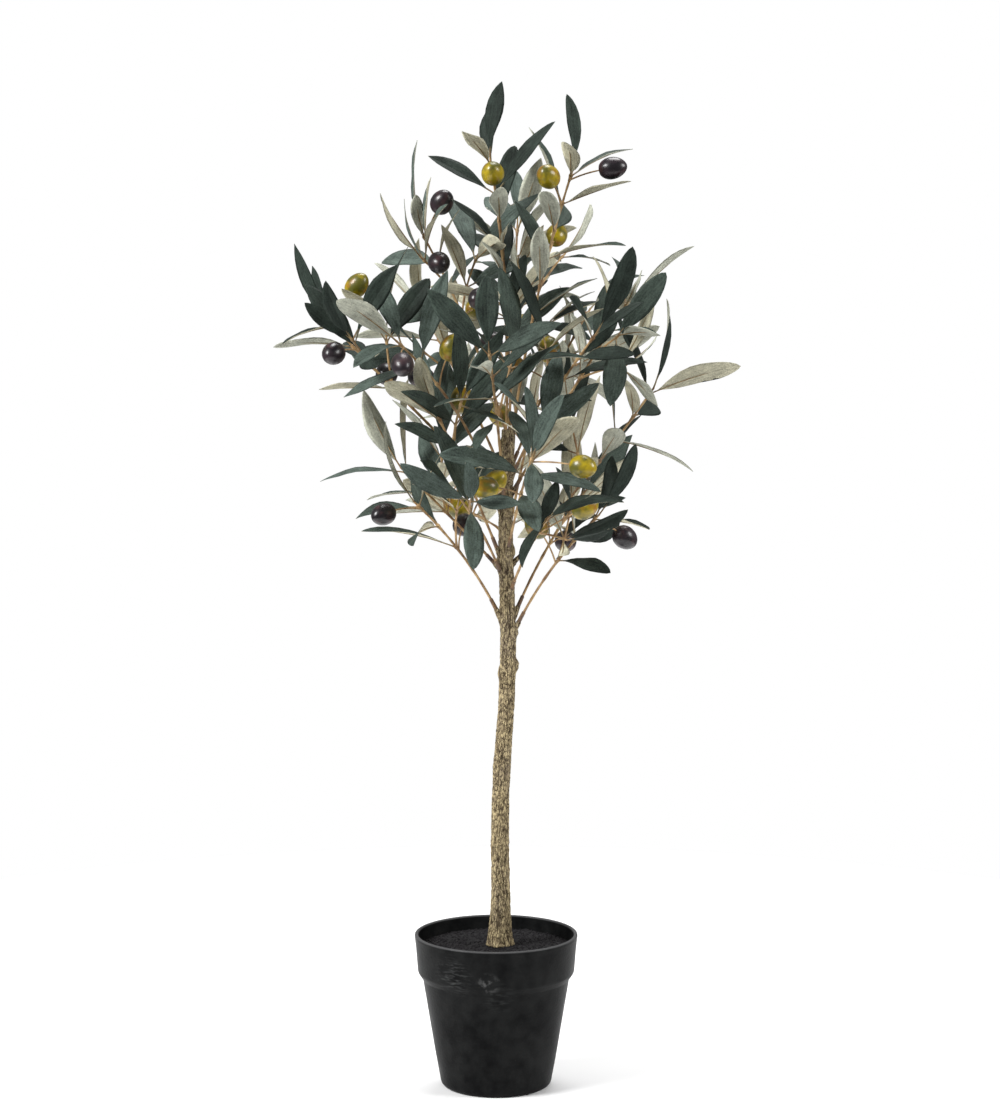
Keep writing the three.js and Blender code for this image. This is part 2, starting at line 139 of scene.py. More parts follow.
# Foot is the height where a bough leaves the trunk, bough and spray are their lengths, and twigs and
# olives are how many the spray has. Lengths are in millimetres, angles in degrees, and a bearing of
# 270 faces the camera.
Bough = namedtuple("Bough", "name foot bearing rise bend bough spray twigs olives seed")

BOUGHS = [
    Bough(*row)
    for row in (
        ("low_left", 282, 190, 67, 24, 66, 82, 1, 2, 83),
        ("low_right", 273, 345, 66, 22, 66, 80, 1, 2, 197),
        ("mid_left", 334, 165, 46, 4, 44, 92, 1, 1, 114),
        ("mid_left_steep", 337, 205, 68, 6, 92, 66, 1, 1, 31),
        ("mid_right", 339, 5, 47, -8, 60, 148, 2, 0, 141),
        ("mid_front", 347, 283, 55, 18, 60, 86, 1, 2, 59),
        ("high_right", 398, 352, 61, 4, 90, 122, 2, 0, 220),
        ("high_left", 402, 180, 44, -3, 96, 126, 2, 3, 183),
        ("high_left_front", 375, 208, 76, 36, 110, 96, 1, 2, 136),
        ("high_front", 385, 262, 65, 16, 78, 110, 1, 0, 82),
        ("high_front_right", 411, 318, 62, 16, 70, 108, 1, 1, 133),
        ("top_left", 465, 158, 71, 12, 70, 120, 2, 3, 21),
        ("top_right", 465, 352, 82, 10, 70, 164, 2, 3, 134),
        ("leader", 465, 222, 94, 17, 30, 209, 2, 3, 342),
        ("top_back", 465, 84, 74, 12, 60, 130, 1, 1, 39),
        ("low_back", 289, 95, 62, 24, 62, 92, 1, 1, 105),
        ("mid_back", 357, 75, 54, 12, 70, 100, 1, 1, 22),
        ("high_back_left", 416, 128, 56, 12, 84, 104, 1, 1, 97),
        ("high_back_right", 421, 48, 58, 12, 78, 106, 1, 1, 129),
        ("low_front", 312, 290, 50, 20, 66, 70, 1, 1, 18),
        ("low_front_left", 322, 228, 64, 20, 52, 66, 1, 1, 49),
        ("low_back_right", 284, 32, 66, 20, 62, 84, 1, 1, 23),
    )
]

# In millimetres and degrees: height, bearing, half width, half height, how far the knot stands out, and
# the depth of the hollow in it
KNOTS = (
    (254, 5, 5.5, 5.0, 3.0, 0.7),
    (257, 2, 2.4, 2.0, 1.3, 0.9),
    (250, 14, 2.6, 2.4, 1.0, 0.5),
    (247, 175, 5.0, 6.0, 1.6, 0.0),
    (317, 262, 4.5, 5.0, 1.2, 2.4),
    (162, 215, 5.0, 7.0, 1.4, 1.8),
    (134, 262, 3.5, 3.0, 1.2, 0.0),
    (129, 275, 3.0, 3.5, 0.9, 1.4),
    (284, 350, 4.0, 4.5, 2.6, 0.0),
    (298, 186, 4.0, 6.0, 2.8, 1.2),
    (345, 178, 5.5, 6.0, 3.2, 0.0),
    (356, 2, 4.5, 5.0, 2.8, 0.9),
    (452, 184, 3.5, 4.0, 2.2, 0.0),
)


# Growing rule


def seeded(seed):
    """A draw from low to high, in an order that the seed fixes."""
    state = [seed & 0xFFFFFFFF]

    def draw(low, high):
        state[0] = (state[0] + 0x6D2B79F5) & 0xFFFFFFFF
        mixed = ((state[0] ^ (state[0] >> 15)) * (state[0] | 1)) & 0xFFFFFFFF
        mixed ^= (mixed + (((mixed ^ (mixed >> 7)) * (mixed | 61)) & 0xFFFFFFFF)) & 0xFFFFFFFF
        return low + (high - low) * ((mixed ^ (mixed >> 14)) & 0xFFFFFFFF) / 4294967296

    return draw


def eased(value):
    """A soft step from 0 to 1."""
    value = np.clip(value, 0.0, 1.0)
    return value * value * (3.0 - 2.0 * value)


def trunk_centre(height):
    """The middle of the trunk at a height: two soft bends to the right and a slight winding."""
    height = np.asarray(height, float)
    lean = 6.7 * eased((height - 71.0) / 156.0)
    tip = 1.8 * eased((height - 340.0) / 170.0)
    across = lean + tip + 1.27 * (np.sin(height / 37.0 + 0.45) - math.sin(0.45))
    return np.stack([across, 1.4 * np.sin(height / 75.0), height], axis=-1)


def trunk_radius(height):
    """A straight taper, with a flare at the root."""
    taper = (TRUNK_FOOT_RADIUS - TRUNK_TIP_RADIUS) / TRUNK_LENGTH
    return TRUNK_FOOT_RADIUS - taper * height + FLARE_RADIUS * np.exp(-height / FLARE_HEIGHT)


class Arc:
    """A round arc in space: it starts along one way and leans over towards another."""

    def __init__(self, start, along, lean, bend, length):
        self.start, self.along, self.lean = start, along, lean
        self.bend, self.length = bend, length
        self.side = np.cross(along, lean)

    def at(self, s):
        """The point at a length s along the arc."""
        s = np.asarray(s, float)
        half = self.bend * s / self.length / 2.0
        chord = s * np.sinc(half / math.pi)
        along = np.multiply.outer(np.cos(half) * chord, self.along)
        return self.start + along + np.multiply.outer(np.sin(half) * chord, self.lean)

    def heading(self, s):
        """The way that the arc runs at a length s."""
        turned = self.bend * np.asarray(s, float) / self.length
        return np.multiply.outer(np.cos(turned), self.along) + np.multiply.outer(np.sin(turned), self.lean)

    def leaning(self, s):
        """The way that the arc bends towards at a length s."""
        turned = self.bend * np.asarray(s, float) / self.length
        return np.multiply.outer(np.cos(turned), self.lean) - np.multiply.outer(np.sin(turned), self.along)


def blade_share(t, belly=0.95, point=0.8):
    """Half of a blade's width as a share of its greatest, at shares of the leaf's length."""
    u = np.clip((t - STALK_SHARE) / (1.0 - STALK_SHARE), 0.0, 1.0)
    return np.sin(math.pi * u**belly) ** point


class Room:
    """What is already there, as points that each keep some room.

    The facts of a point are its room, its node, its stem and how far it is from its own foot.
    """

    def __init__(self):
        self.points = np.zeros((0, 3))
        self.facts = np.zeros((0, 4))

    def take(self, points, reach, room, node, stem):
        """Adds the points of a piece."""
        facts = np.empty((len(points), 4))
        facts[:, 0], facts[:, 1], facts[:, 2], facts[:, 3] = room, node, stem, reach
        self.points = np.vstack([self.points, points])
        self.facts = np.vstack([self.facts, facts])

    def is_free(self, points, reach, node, stem, extra=0.0, squeeze=1.0):
        """Whether points have room among what is there.

        Near their foot they may touch their own stem, and further out they keep a smaller room from it.
        Near either foot they may touch what stands on their node.
        """
        low, high = points.min(axis=0) - 30.0, points.max(axis=0) + 30.0
        near = np.all((self.points > low) & (self.points < high), axis=1)
        if not near.any():
            return True
        facts = self.facts[near]
        apart = ((points[:, None, :] - self.points[near][None]) ** 2).sum(axis=2)
        hit = apart < (((facts[:, 0] + extra) * squeeze) ** 2)[None]
        own_root = np.reshape(reach, (-1, 1)) < ROOT_LENGTH
        same_node = (facts[:, 1] == node)[None] & (own_root | (facts[:, 3] < ROOT_LENGTH)[None])
        same_stem = (facts[:, 2] == stem)[None] & (own_root | (apart > OWN_STEM_ROOM**2))
        return not (hit & ~same_node & ~same_stem).any()


def inside_crown(points):
    """Whether all points lie in the rounded space that the crown fills, above its floor."""
    across = np.hypot(points[:, 0] - CROWN_MIDDLE[0], points[:, 1] - CROWN_MIDDLE[1]) / CROWN_REACH
    up = (points[:, 2] - CROWN_MIDDLE[2]) / CROWN_HALF_HEIGHT
    return bool((points[:, 2] > CROWN_FLOOR).all() and (across**2 + up**2 < 1.0).all())


def points_along(arc, start):
    """Points on a stem that keep its room, and how far along each one is."""
    count = max(2, math.ceil((arc.length - start) / 5.0) + 1)
    s = np.linspace(start, arc.length, count)
    return arc.at(s), s


def points_on_leaf(arc, width):
    """Points over a leaf's blade that keep its room, and how far along each one is."""
    t = np.linspace(0.14, 1.0, 12)
    middle = arc.at(t * arc.length)
    half = (blade_share(t) * width / 2.0)[:, None]
    points = np.vstack([middle + arc.side * half * across for across in (-1.0, -0.35, 0.35, 1.0)])
    return points, np.tile(t * arc.length, 4)


def offshoot(host, s, turn, spread, twist, bend, length):
    """An arc that leaves a host stem, with its upper side towards the host's tip."""
    heading = host.heading(s)
    outward = host.leaning(s) * math.cos(turn) + host.side * math.sin(turn)
    along = heading * math.cos(spread) + outward * math.sin(spread)
    upper = heading * math.sin(spread) - outward * math.cos(spread)
    rolled = upper * math.cos(twist) + np.cross(along, upper) * math.sin(twist)
    return Arc(host.at(s), along, -rolled, bend, length)


def node_places(length):
    """How far along a stem its pairs of leaves stand, counted back from the tip."""
    count = max(1, int((length - 4.0) // NODE_PITCH))
    return [length - 7.0 - NODE_PITCH * (count - 1 - i) for i in range(count)]


class OliveTree:
    """The whole tree as arcs: boughs, stems, twigs, leaves and olives, each with its spray's number."""

    def __init__(self):
        self.room = Room()
        self.paths, self.stems, self.twigs = [], [], []
        self.leaves, self.olives, self.nodes, self.missed = [], [], [], []
        self.last_mark = 1
        for row in BOUGHS:
            self.paths.append(self.limb_path(row))
            self.stems.append(self.new_mark())
        for height in np.arange(0.0, TRUNK_LENGTH + 1.0, 5.0):
            room = trunk_radius(height) + BARK_ROOM
            self.room.take(trunk_centre(height)[None], FAR, room, NO_MARK, NO_MARK)
        for path, stem in zip(self.paths, self.stems):
            self.room.take(points_along(path, 12.0)[0], FAR, STEM_ROOM, NO_MARK, stem)
        for number in range(len(BOUGHS)):
            self.grow_spray(number)
        self.fill_missed()

    def new_mark(self):
        """A number that no other node or stem has."""
        self.last_mark += 1
        return self.last_mark

    @staticmethod
    def limb_path(row):
        """The line of a bough and of the spray that carries on from it."""
        bearing, rise = math.radians(row.bearing), math.radians(row.rise)
        out = np.array([math.cos(bearing), math.sin(bearing), 0.0])
        upward = np.array([0.0, 0.0, 1.0])
        start = trunk_centre(row.foot)
        if row.foot >= TRUNK_LENGTH:
            start = start + out * TIP_RING + upward * CONTACT_GAP
        along = out * math.cos(rise) + upward * math.sin(rise)
        lean = out * math.sin(rise) - upward * math.cos(rise)
        return Arc(start, along, lean, math.radians(row.bend), row.bough + row.spray)

    def grow_leaf(self, draw, number, host, s, roll, stem, node, at_end):
        """A leaf where a try finds room, later tries being mostly smaller, or else a note that it is missed."""
        for attempt in range(LEAF_TRIES):
            turn = roll + math.radians(draw(-14, 14)) * (1 + attempt / 4)
            spread = math.radians(draw(3, 14) if at_end else draw(28, 64))
            twist = math.radians(draw(-38, 38)) * (1 + attempt / 8)
            bend = math.radians(draw(10, 34))
            length = draw(66, 88) * (1 - attempt * 0.018)
            width = length * draw(0.25, 0.31)
            arc = offshoot(host, s, turn, spread, twist, bend, length)
            points, reach = points_on_leaf(arc, width)
            if inside_crown(points) and self.room.is_free(points, reach, node, stem):
                self.room.take(points, reach, LEAF_ROOM, node, NO_MARK)
                self.leaves.append((number, arc, width))
                return
        self.missed.append((number, host, s, roll, stem, node, at_end))

    def grow_twig(self, draw, number, host, s, roll, stem, node):
        """A side twig's arc and its mark, or None where there is no room."""
        for attempt in range(TWIG_TRIES):
            turn = roll + math.radians(draw(-16, 16)) * (1 + attempt / 4)
            spread = math.radians(draw(30, 46))
            bend = math.radians(draw(6, 22))
            arc = offshoot(host, s, turn, spread, 0.0, bend, draw(40, 60))
            points, reach = points_along(arc, 0.0)
            if inside_crown(points) and self.room.is_free(points, reach, node, stem, extra=1.5):
                mark = self.new_mark()
                self.room.take(points, reach, STEM_ROOM, node, mark)
                self.twigs.append((number, arc))
                return arc, mark
        return None

    def grow_olive(self, draw, number, host, s, roll, stem, node):
        """An olive on its stalk, and whether it found room."""
        for attempt in range(OLIVE_TRIES):
            turn = roll + math.radians(draw(-25, 25)) * (1 + attempt / 3)
            spread = math.radians(draw(35, 75))
            bend = math.radians(draw(10, 45))
            length = draw(26, 42)
            stalk = offshoot(host, s, turn, spread, 0.0, bend, length)
            points, reach = points_along(stalk, 0.0)
            middle = (stalk.at(length) + stalk.heading(length) * (OLIVE_HALF_LENGTH - OLIVE_SINK))[None]
            is_room = self.room.is_free(points, reach, node, stem)
            if is_room and self.room.is_free(middle, FAR, node, stem, extra=12.0) and inside_crown(middle):
                mark = self.new_mark()
                self.room.take(points, reach, STEM_ROOM, node, mark)
                self.room.take(middle, FAR, OLIVE_ROOM, node, mark)
                self.olives.append((number, stalk, middle[0]))
                return True
        return False

    def grow_spray(self, number):
        """Pairs of leaves up the stem, each crosswise to the last, with twigs and olives between them."""
        row, path, stem = BOUGHS[number], self.paths[number], self.stems[number]
        draw = seeded(row.seed * 7919 + row.foot * 31 + row.bearing)
        phase = math.radians(draw(0, 180))
        places = node_places(row.spray)
        leaf_places = []
        hung = 0
        for i, place in enumerate(places):
            s = row.bough + place
            node = self.new_mark()
            roll = phase + i * math.pi / 2
            twig_side = i % 2 if i < min(row.twigs, len(places) - 1) else -1
            self.nodes.append((path, s, STEM_COLLAR))
            if hung < row.olives and (i % 2 == 0 or len(places) - i <= row.olives - hung):
                hung += self.grow_olive(draw, number, path, s - 3, roll + math.pi / 2, stem, node)
            for side in (0, 1):
                turn = roll + side * math.pi
                twig = self.grow_twig(draw, number, path, s, turn, stem, node) if side == twig_side else None
                if twig is None:
                    leaf_places.append((path, s, turn, stem, node, False))
                    continue
                arc, mark = twig
                twig_phase = math.radians(draw(0, 180))
                for k, q in enumerate(node_places(arc.length)):
                    twig_node = self.new_mark()
                    self.nodes.append((arc, q, TWIG_COLLAR))
                    for half in (0.0, math.pi):
                        leaf_places.append((arc, q, twig_phase + k * math.pi / 2 + half, mark, twig_node, False))
                leaf_places.append((arc, arc.length - 1, twig_phase, mark, self.new_mark(), True))
        leaf_places.append((path, row.bough + row.spray - 1, phase, stem, self.new_mark(), True))
        for leaf_place in leaf_places:
            self.grow_leaf(draw, number, *leaf_place)

    def fill_missed(self):
        """Smaller leaves where the full-sized one found no room, as long as they keep the reach."""
        draw = seeded(SMALL_LEAF_SEED)
        for number, host, s, roll, stem, node, at_end in self.missed:
            for attempt in range(SMALL_LEAF_TRIES):
                turn = roll + math.radians(draw(-20, 20)) * (1 + attempt / 4)
                spread = math.radians(draw(4, 20) if at_end else draw(24, 62))
                twist = math.radians(draw(-50, 50))
                bend = math.radians(draw(8, 36))
                length = draw(50, 70) * (1 - attempt * 0.016)
                width = length * draw(0.24, 0.30)
                arc = offshoot(host, s, turn, spread, twist, bend, length)
                points, reach = points_on_leaf(arc, width)
                if inside_crown(points) and self.room.is_free(points, reach, node, stem, squeeze=0.62):
                    self.room.take(points, reach, LEAF_ROOM, node, NO_MARK)
                    self.leaves.append((number, arc, width))
                    break


@functools.cache
def olive_tree():
    """The grown tree, which is worked out once for all pieces."""
    return OliveTree()


# Meshes


def to_metres(points):
    """From the tree's own frame in millimetres to the model's frame in metres."""
    return (np.asarray(points, float) + TREE_FOOT) * MM


def grid_faces(rows, columns, closed=False, first=0):
    """Quads of a grid of points that runs row by row, closed into a tube where asked."""
    row = np.arange(rows - 1)[:, None]
    column = np.arange(columns if closed else columns - 1)[None]
    following = (column + 1) % columns
    a = row * columns + column
    b = row * columns + following
    quads = np.stack([a, b, b + columns, a + columns], axis=-1).reshape(-1, 4)
    return quads + first


def mesh_object(name, points, faces, materials, slots=None):
    """A smooth object from points and faces, with each face's slot where it has several materials."""
    mesh = bpy.data.meshes.new(name)
    mesh.from_pydata([tuple(p) for p in points], [], [tuple(f) for f in faces])
    for material in materials:
        mesh.materials.append(material)
    if slots is not None:
        mesh.polygons.foreach_set("material_index", np.asarray(slots, np.int32))
    mesh.polygons.foreach_set("use_smooth", np.ones(len(mesh.polygons), bool))
    mesh.update()
    made = bpy.data.objects.new(name, mesh)
    bpy.context.collection.objects.link(made)
    return made


def fan_faces(middle, first, sides, order):
    """Faces from a middle point to the ring that starts at first, turned over where order is -1."""
    return [(middle, *(first + i, first + (i + 1) % sides)[::order]) for i in range(sides)]


def lathed(outline, sides):
    """Points and faces of an outline of radius and height turned about Z, closed at both poles."""
    outline = np.asarray(outline, float)
    angle = np.linspace(0.0, 2.0 * math.pi, sides, endpoint=False)
    rings = outline[1:-1]
    x = np.outer(rings[:, 0], np.cos(angle))
    y = np.outer(rings[:, 0], np.sin(angle))
    z = np.repeat(rings[:, 1][:, None], sides, axis=1)
    points = np.stack([x, y, z], axis=-1).reshape(-1, 3)
    points = np.vstack([points, [0.0, 0.0, outline[0, 1]], [0.0, 0.0, outline[-1, 1]]])
    faces = grid_faces(len(rings), sides, closed=True).tolist()
    faces.extend(fan_faces(len(points) - 2, 0, sides, -1))
    faces.extend(fan_faces(len(points) - 1, (len(rings) - 1) * sides, sides, 1))
    return points, faces


def rounded_outline(corners):
    """An outline whose corners, each with a rounding, are turned into short arcs of five points."""
    places = [np.array(corner[:2], float) for corner in corners]
    outline = [places[0]]
    for i in range(1, len(corners) - 1):
        rounding = corners[i][2]
        before, here, after = places[i - 1], places[i], places[i + 1]
        if rounding == 0:
            outline.append(here)
            continue
        to_before = (before - here) / np.linalg.norm(before - here)
        to_after = (after - here) / np.linalg.norm(after - here)
        for u in np.linspace(0.0, 1.0, 5):
            start, end = here + to_before * rounding, here + to_after * rounding
            outline.append(start * (1 - u) ** 2 + here * 2 * u * (1 - u) + end * u * u)
    outline.append(places[-1])
    return np.array(outline)


# Geometry Nodes


def added_node(tree, kind, links, settings):
    """A new node with its settings, whose inputs are linked to sockets or given values."""
    made = tree.nodes.new(kind)
    for key, value in settings.items():
        setattr(made, key, value)
    for socket, source in dict(links).items():
        if isinstance(source, bpy.types.NodeSocket):
            tree.links.new(source, made.inputs[socket])
        else:
            made.inputs[socket].default_value = source
    return made


class Nodes:
    """A Geometry Nodes tree with named inputs, put together in a few words."""

    def __init__(self, name):
        self.group = bpy.data.node_groups.new(name, "GeometryNodeTree")
        self.sockets = {}
        self.add_input("Geometry", "NodeSocketGeometry")
        self.group.interface.new_socket("Geometry", in_out="OUTPUT", socket_type="NodeSocketGeometry")
        self.start = self.group.nodes.new("NodeGroupInput")
        self.end = self.group.nodes.new("NodeGroupOutput")

    def add_input(self, name, kind, default=None):
        socket = self.group.interface.new_socket(name, in_out="INPUT", socket_type=kind)
        if default is not None:
            socket.default_value = default
        self.sockets[name] = socket.identifier

    def node(self, kind, links=(), **settings):
        return added_node(self.group, kind, links, settings)

    def named(self, attribute, kind):
        """A named attribute of the points that the tree runs on."""
        made = self.node("GeometryNodeInputNamedAttribute", {"Name": attribute}, data_type=kind)
        return made.outputs["Attribute"]

    def finish(self, geometry):
        """Ends the tree in realized instances, smooth shading and the material."""
        real = self.node("GeometryNodeRealizeInstances", {"Geometry": geometry})
        soft = self.node("GeometryNodeSetShadeSmooth", {"Geometry": real.outputs["Geometry"]})
        painted = self.node(
            "GeometryNodeSetMaterial",
            {"Geometry": soft.outputs["Geometry"], "Material": self.start.outputs["Material"]},
        )
        self.group.links.new(painted.outputs["Geometry"], self.end.inputs["Geometry"])


def tube_nodes():
    """Tubes along poly lines, as thick as the attribute girth tells."""
    tree = Nodes("Tubes along lines")
    tree.add_input("Sides", "NodeSocketInt", 8)
    tree.add_input("Girth", "NodeSocketFloat", 1.0)
    tree.add_input("Material", "NodeSocketMaterial")
    line = tree.node("GeometryNodeMeshToCurve", {"Mesh": tree.start.outputs["Geometry"]})
    ring = tree.node("GeometryNodeCurvePrimitiveCircle", {"Resolution": tree.start.outputs["Sides"], "Radius": 1.0})
    girth = tree.node(
        "ShaderNodeMath", {0: tree.named("girth", "FLOAT"), 1: tree.start.outputs["Girth"]}, operation="MULTIPLY"
    )
    tube = tree.node(
        "GeometryNodeCurveToMesh",
        {
            "Curve": line.outputs["Curve"],
            "Profile Curve": ring.outputs["Curve"],
            "Scale": girth.outputs[0],
            "Fill Caps": True,
        },
    )
    tree.finish(tube.outputs["Mesh"])
    return tree


def placing_nodes():
    """One shape set on every point, turned along the attribute way and sized by girth."""
    tree = Nodes("Shape on points")
    tree.add_input("Shape", "NodeSocketObject")
    tree.add_input("Size", "NodeSocketFloat", 1.0)
    tree.add_input("Material", "NodeSocketMaterial")
    shape = tree.node("GeometryNodeObjectInfo", {"Object": tree.start.outputs["Shape"]})
    turn = tree.node(
        "FunctionNodeAxesToRotation",
        {"Primary Axis": tree.named("way", "FLOAT_VECTOR"), "Secondary Axis": tree.named("side", "FLOAT_VECTOR")},
        primary_axis="Z",
        secondary_axis="X",
    )
    size = tree.node(
        "ShaderNodeVectorMath",
        {0: tree.named("girth", "FLOAT_VECTOR"), "Scale": tree.start.outputs["Size"]},
        operation="SCALE",
    )
    placed = tree.node(
        "GeometryNodeInstanceOnPoints",
        {
            "Points": tree.start.outputs["Geometry"],
            "Instance": shape.outputs["Geometry"],
            "Rotation": turn.outputs["Rotation"],
            "Scale": size.outputs["Vector"],
        },
    )
    tree.finish(placed.outputs["Instances"])
    return tree


def grit_nodes():
    """Small grains strewn over a surface."""
    tree = Nodes("Grit on a surface")
    tree.add_input("Density", "NodeSocketFloat", 50000.0)
    tree.add_input("Grain", "NodeSocketFloat", 0.001)
    tree.add_input("Seed", "NodeSocketInt", 5)
    tree.add_input("Material", "NodeSocketMaterial")
    spots = tree.node(
        "GeometryNodeDistributePointsOnFaces",
        {
            "Mesh": tree.start.outputs["Geometry"],
            "Density": tree.start.outputs["Density"],
            "Seed": tree.start.outputs["Seed"],
        },
    )
    grain = tree.node("GeometryNodeMeshIcoSphere", {"Radius": tree.start.outputs["Grain"], "Subdivisions": 1})
    turn = tree.node(
        "FunctionNodeRandomValue",
        {"Min": (0.0, 0.0, 0.0), "Max": (FULL_TURN, FULL_TURN, FULL_TURN), "Seed": 11},
        data_type="FLOAT_VECTOR",
    )
    size = tree.node(
        "FunctionNodeRandomValue",
        {"Min": (0.45, 0.45, 0.35), "Max": (1.7, 1.4, 1.0), "Seed": 12},
        data_type="FLOAT_VECTOR",
    )
    rotation = tree.node("FunctionNodeEulerToRotation", {"Euler": turn.outputs["Value"]})
    placed = tree.node(
        "GeometryNodeInstanceOnPoints",
        {
            "Points": spots.outputs["Points"],
            "Instance": grain.outputs["Mesh"],
            "Rotation": rotation.outputs["Rotation"],
            "Scale": size.outputs["Value"],
        },
    )
    tree.finish(placed.outputs["Instances"])
    return tree


def grown_by(tree, name, carrier, material, **values):
    """Runs a node tree on a carrier object and keeps the result as a plain mesh of one piece."""
    modifier = carrier.modifiers.new("Growth", "NODES")
    modifier.node_group = tree.group
    for key, value in values.items():
        modifier[tree.sockets[key]] = value
    modifier[tree.sockets["Material"]] = material
    depsgraph = bpy.context.evaluated_depsgraph_get()
    mesh = bpy.data.meshes.new_from_object(carrier.evaluated_get(depsgraph), depsgraph=depsgraph)
    mesh.name = name
    made = bpy.data.objects.new(name, mesh)
    bpy.context.collection.objects.link(made)
    bpy.data.objects.remove(carrier)
    return made


def lines_carrier(lines):
    """Poly lines as a mesh of edges, from pairs of points in metres and radii in metres."""
    points, edges, girths = [], [], []
    for places, radii in lines:
        first = len(points)
        points.extend(map(tuple, places))
        girths.extend(radii)
        edges.extend((first + i, first + i + 1) for i in range(len(places) - 1))
    mesh = bpy.data.meshes.new("lines")
    mesh.from_pydata(points, edges, [])
    mesh.attributes.new("girth", "FLOAT", "POINT").data.foreach_set("value", np.array(girths, np.float32))
    carrier = bpy.data.objects.new("lines", mesh)
    bpy.context.collection.objects.link(carrier)
    return carrier


def points_carrier(places, ways, sides, girths):
    """Points for shapes to be set on, with the two directions and the size of each."""
    mesh = bpy.data.meshes.new("points")
    mesh.from_pydata([tuple(p) for p in places], [], [])
    for key, values in (("way", ways), ("side", sides), ("girth", girths)):
        attribute = mesh.attributes.new(key, "FLOAT_VECTOR", "POINT")
        attribute.data.foreach_set("vector", np.asarray(values, np.float32).ravel())
    carrier = bpy.data.objects.new("points", mesh)
    bpy.context.collection.objects.link(carrier)
    return carrier


# Materials


# Sockets of the colour mixing node go by number, as several share one name
MIX_FACTOR, MIX_FIRST, MIX_SECOND, MIX_RESULT = 0, 6, 7, 2


class Finish:
    """A procedural material, put together in a few words."""

    def __init__(self, name, colour, roughness):
        self.material = bpy.data.materials.new(name)
        self.material.use_nodes = True
        self.material.diffuse_color = (*colour, 1.0)
        self.tree = self.material.node_tree
        self.shader = self.tree.nodes["Principled BSDF"]
        self.shader.inputs["Base Color"].default_value = (*colour, 1.0)
        self.shader.inputs["Roughness"].default_value = roughness
        self.place = self.node("ShaderNodeTexCoord").outputs["Object"]

    def node(self, kind, links=(), **settings):
        return added_node(self.tree, kind, links, settings)

    def stretched(self, scale, place=None):
        """Coordinates scaled along each axis, which draws a pattern out where a scale is small."""
        made = self.node("ShaderNodeMapping", {"Vector": place or self.place, "Scale": scale})
        return made.outputs["Vector"]

    def speckle(self, scale, detail=3.0, place=None):
        """Cloudy noise about 0.5, finer with a greater scale."""
        made = self.node(
            "ShaderNodeTexNoise",
            {"Vector": place or self.place, "Scale": scale, "Detail": detail, "Roughness": 0.55},
        )
        return made.outputs["Fac"]

    def attribute(self, name):
        return self.node("ShaderNodeAttribute", attribute_name=name).outputs["Fac"]

    def between(self, value, low, high, to_low=0.0, to_high=1.0):
        """A value mapped from one range to another and kept inside it."""
        made = self.node(
            "ShaderNodeMapRange",
            {"Value": value, "From Min": low, "From Max": high, "To Min": to_low, "To Max": to_high},
        )
        return made.outputs["Result"]

    def product(self, first, second):
        return self.node("ShaderNodeMath", {0: first, 1: second}, operation="MULTIPLY").outputs[0]

    def total(self, first, second):
        return self.node("ShaderNodeMath", {0: first, 1: second}, operation="ADD").outputs[0]

    def near(self, spot, reach):
        """1 at a spot, fading to 0 at a distance of reach."""
        apart = self.node("ShaderNodeVectorMath", {0: self.place, 1: spot}, operation="DISTANCE").outputs["Value"]
        return self.between(apart, 0.3 * reach, reach, 1.0, 0.0)

    def blend(self, factor, first, second, way="MIX"):
        """The second colour laid over the first by a factor."""
        colours = [c if isinstance(c, bpy.types.NodeSocket) else (*c, 1.0) for c in (first, second)]
        links = {MIX_FACTOR: factor, MIX_FIRST: colours[0], MIX_SECOND: colours[1]}
        return self.node("ShaderNodeMix", links, data_type="RGBA", blend_type=way).outputs[MIX_RESULT]

    def use(self, socket, source):
        self.tree.links.new(source, self.shader.inputs[socket])

    def bump(self, height, strength, distance):
        """Fine relief that is too small for the mesh."""
        made = self.node("ShaderNodeBump", {"Strength": strength, "Distance": distance, "Height": height})
        self.use("Normal", made.outputs["Normal"])

    def set(self, **values):
        """Values of the shader's own sockets, with underscores for the spaces in their names."""
        for key, value in values.items():
            self.shader.inputs[key.replace("_", " ")].default_value = value
        return self


# Where the pot's front is scuffed, in metres: the band's left, the band's foot, and below it
SCUFFS = (((-0.038, -0.0585, 0.1135), 0.022), ((-0.007, -0.069, 0.109), 0.012), ((0.003, -0.065, 0.096), 0.018))

# Greys of the dragged scuffs, of the smears, and of the rubbed lip, whose grey is also a painted highlight
SCUFF_GREY = (0.05, 0.052, 0.052)
SMEAR_GREY = (0.11, 0.11, 0.11)
LIP_WEAR_AND_HIGHLIGHT_GREY = (0.11, 0.11, 0.112)

# Colours of the filling's darkest patches and of its loose grains
PATCH_COLOUR = (0.006, 0.0055, 0.006)
GRAIN_COLOUR = (0.0095, 0.0083, 0.0097)


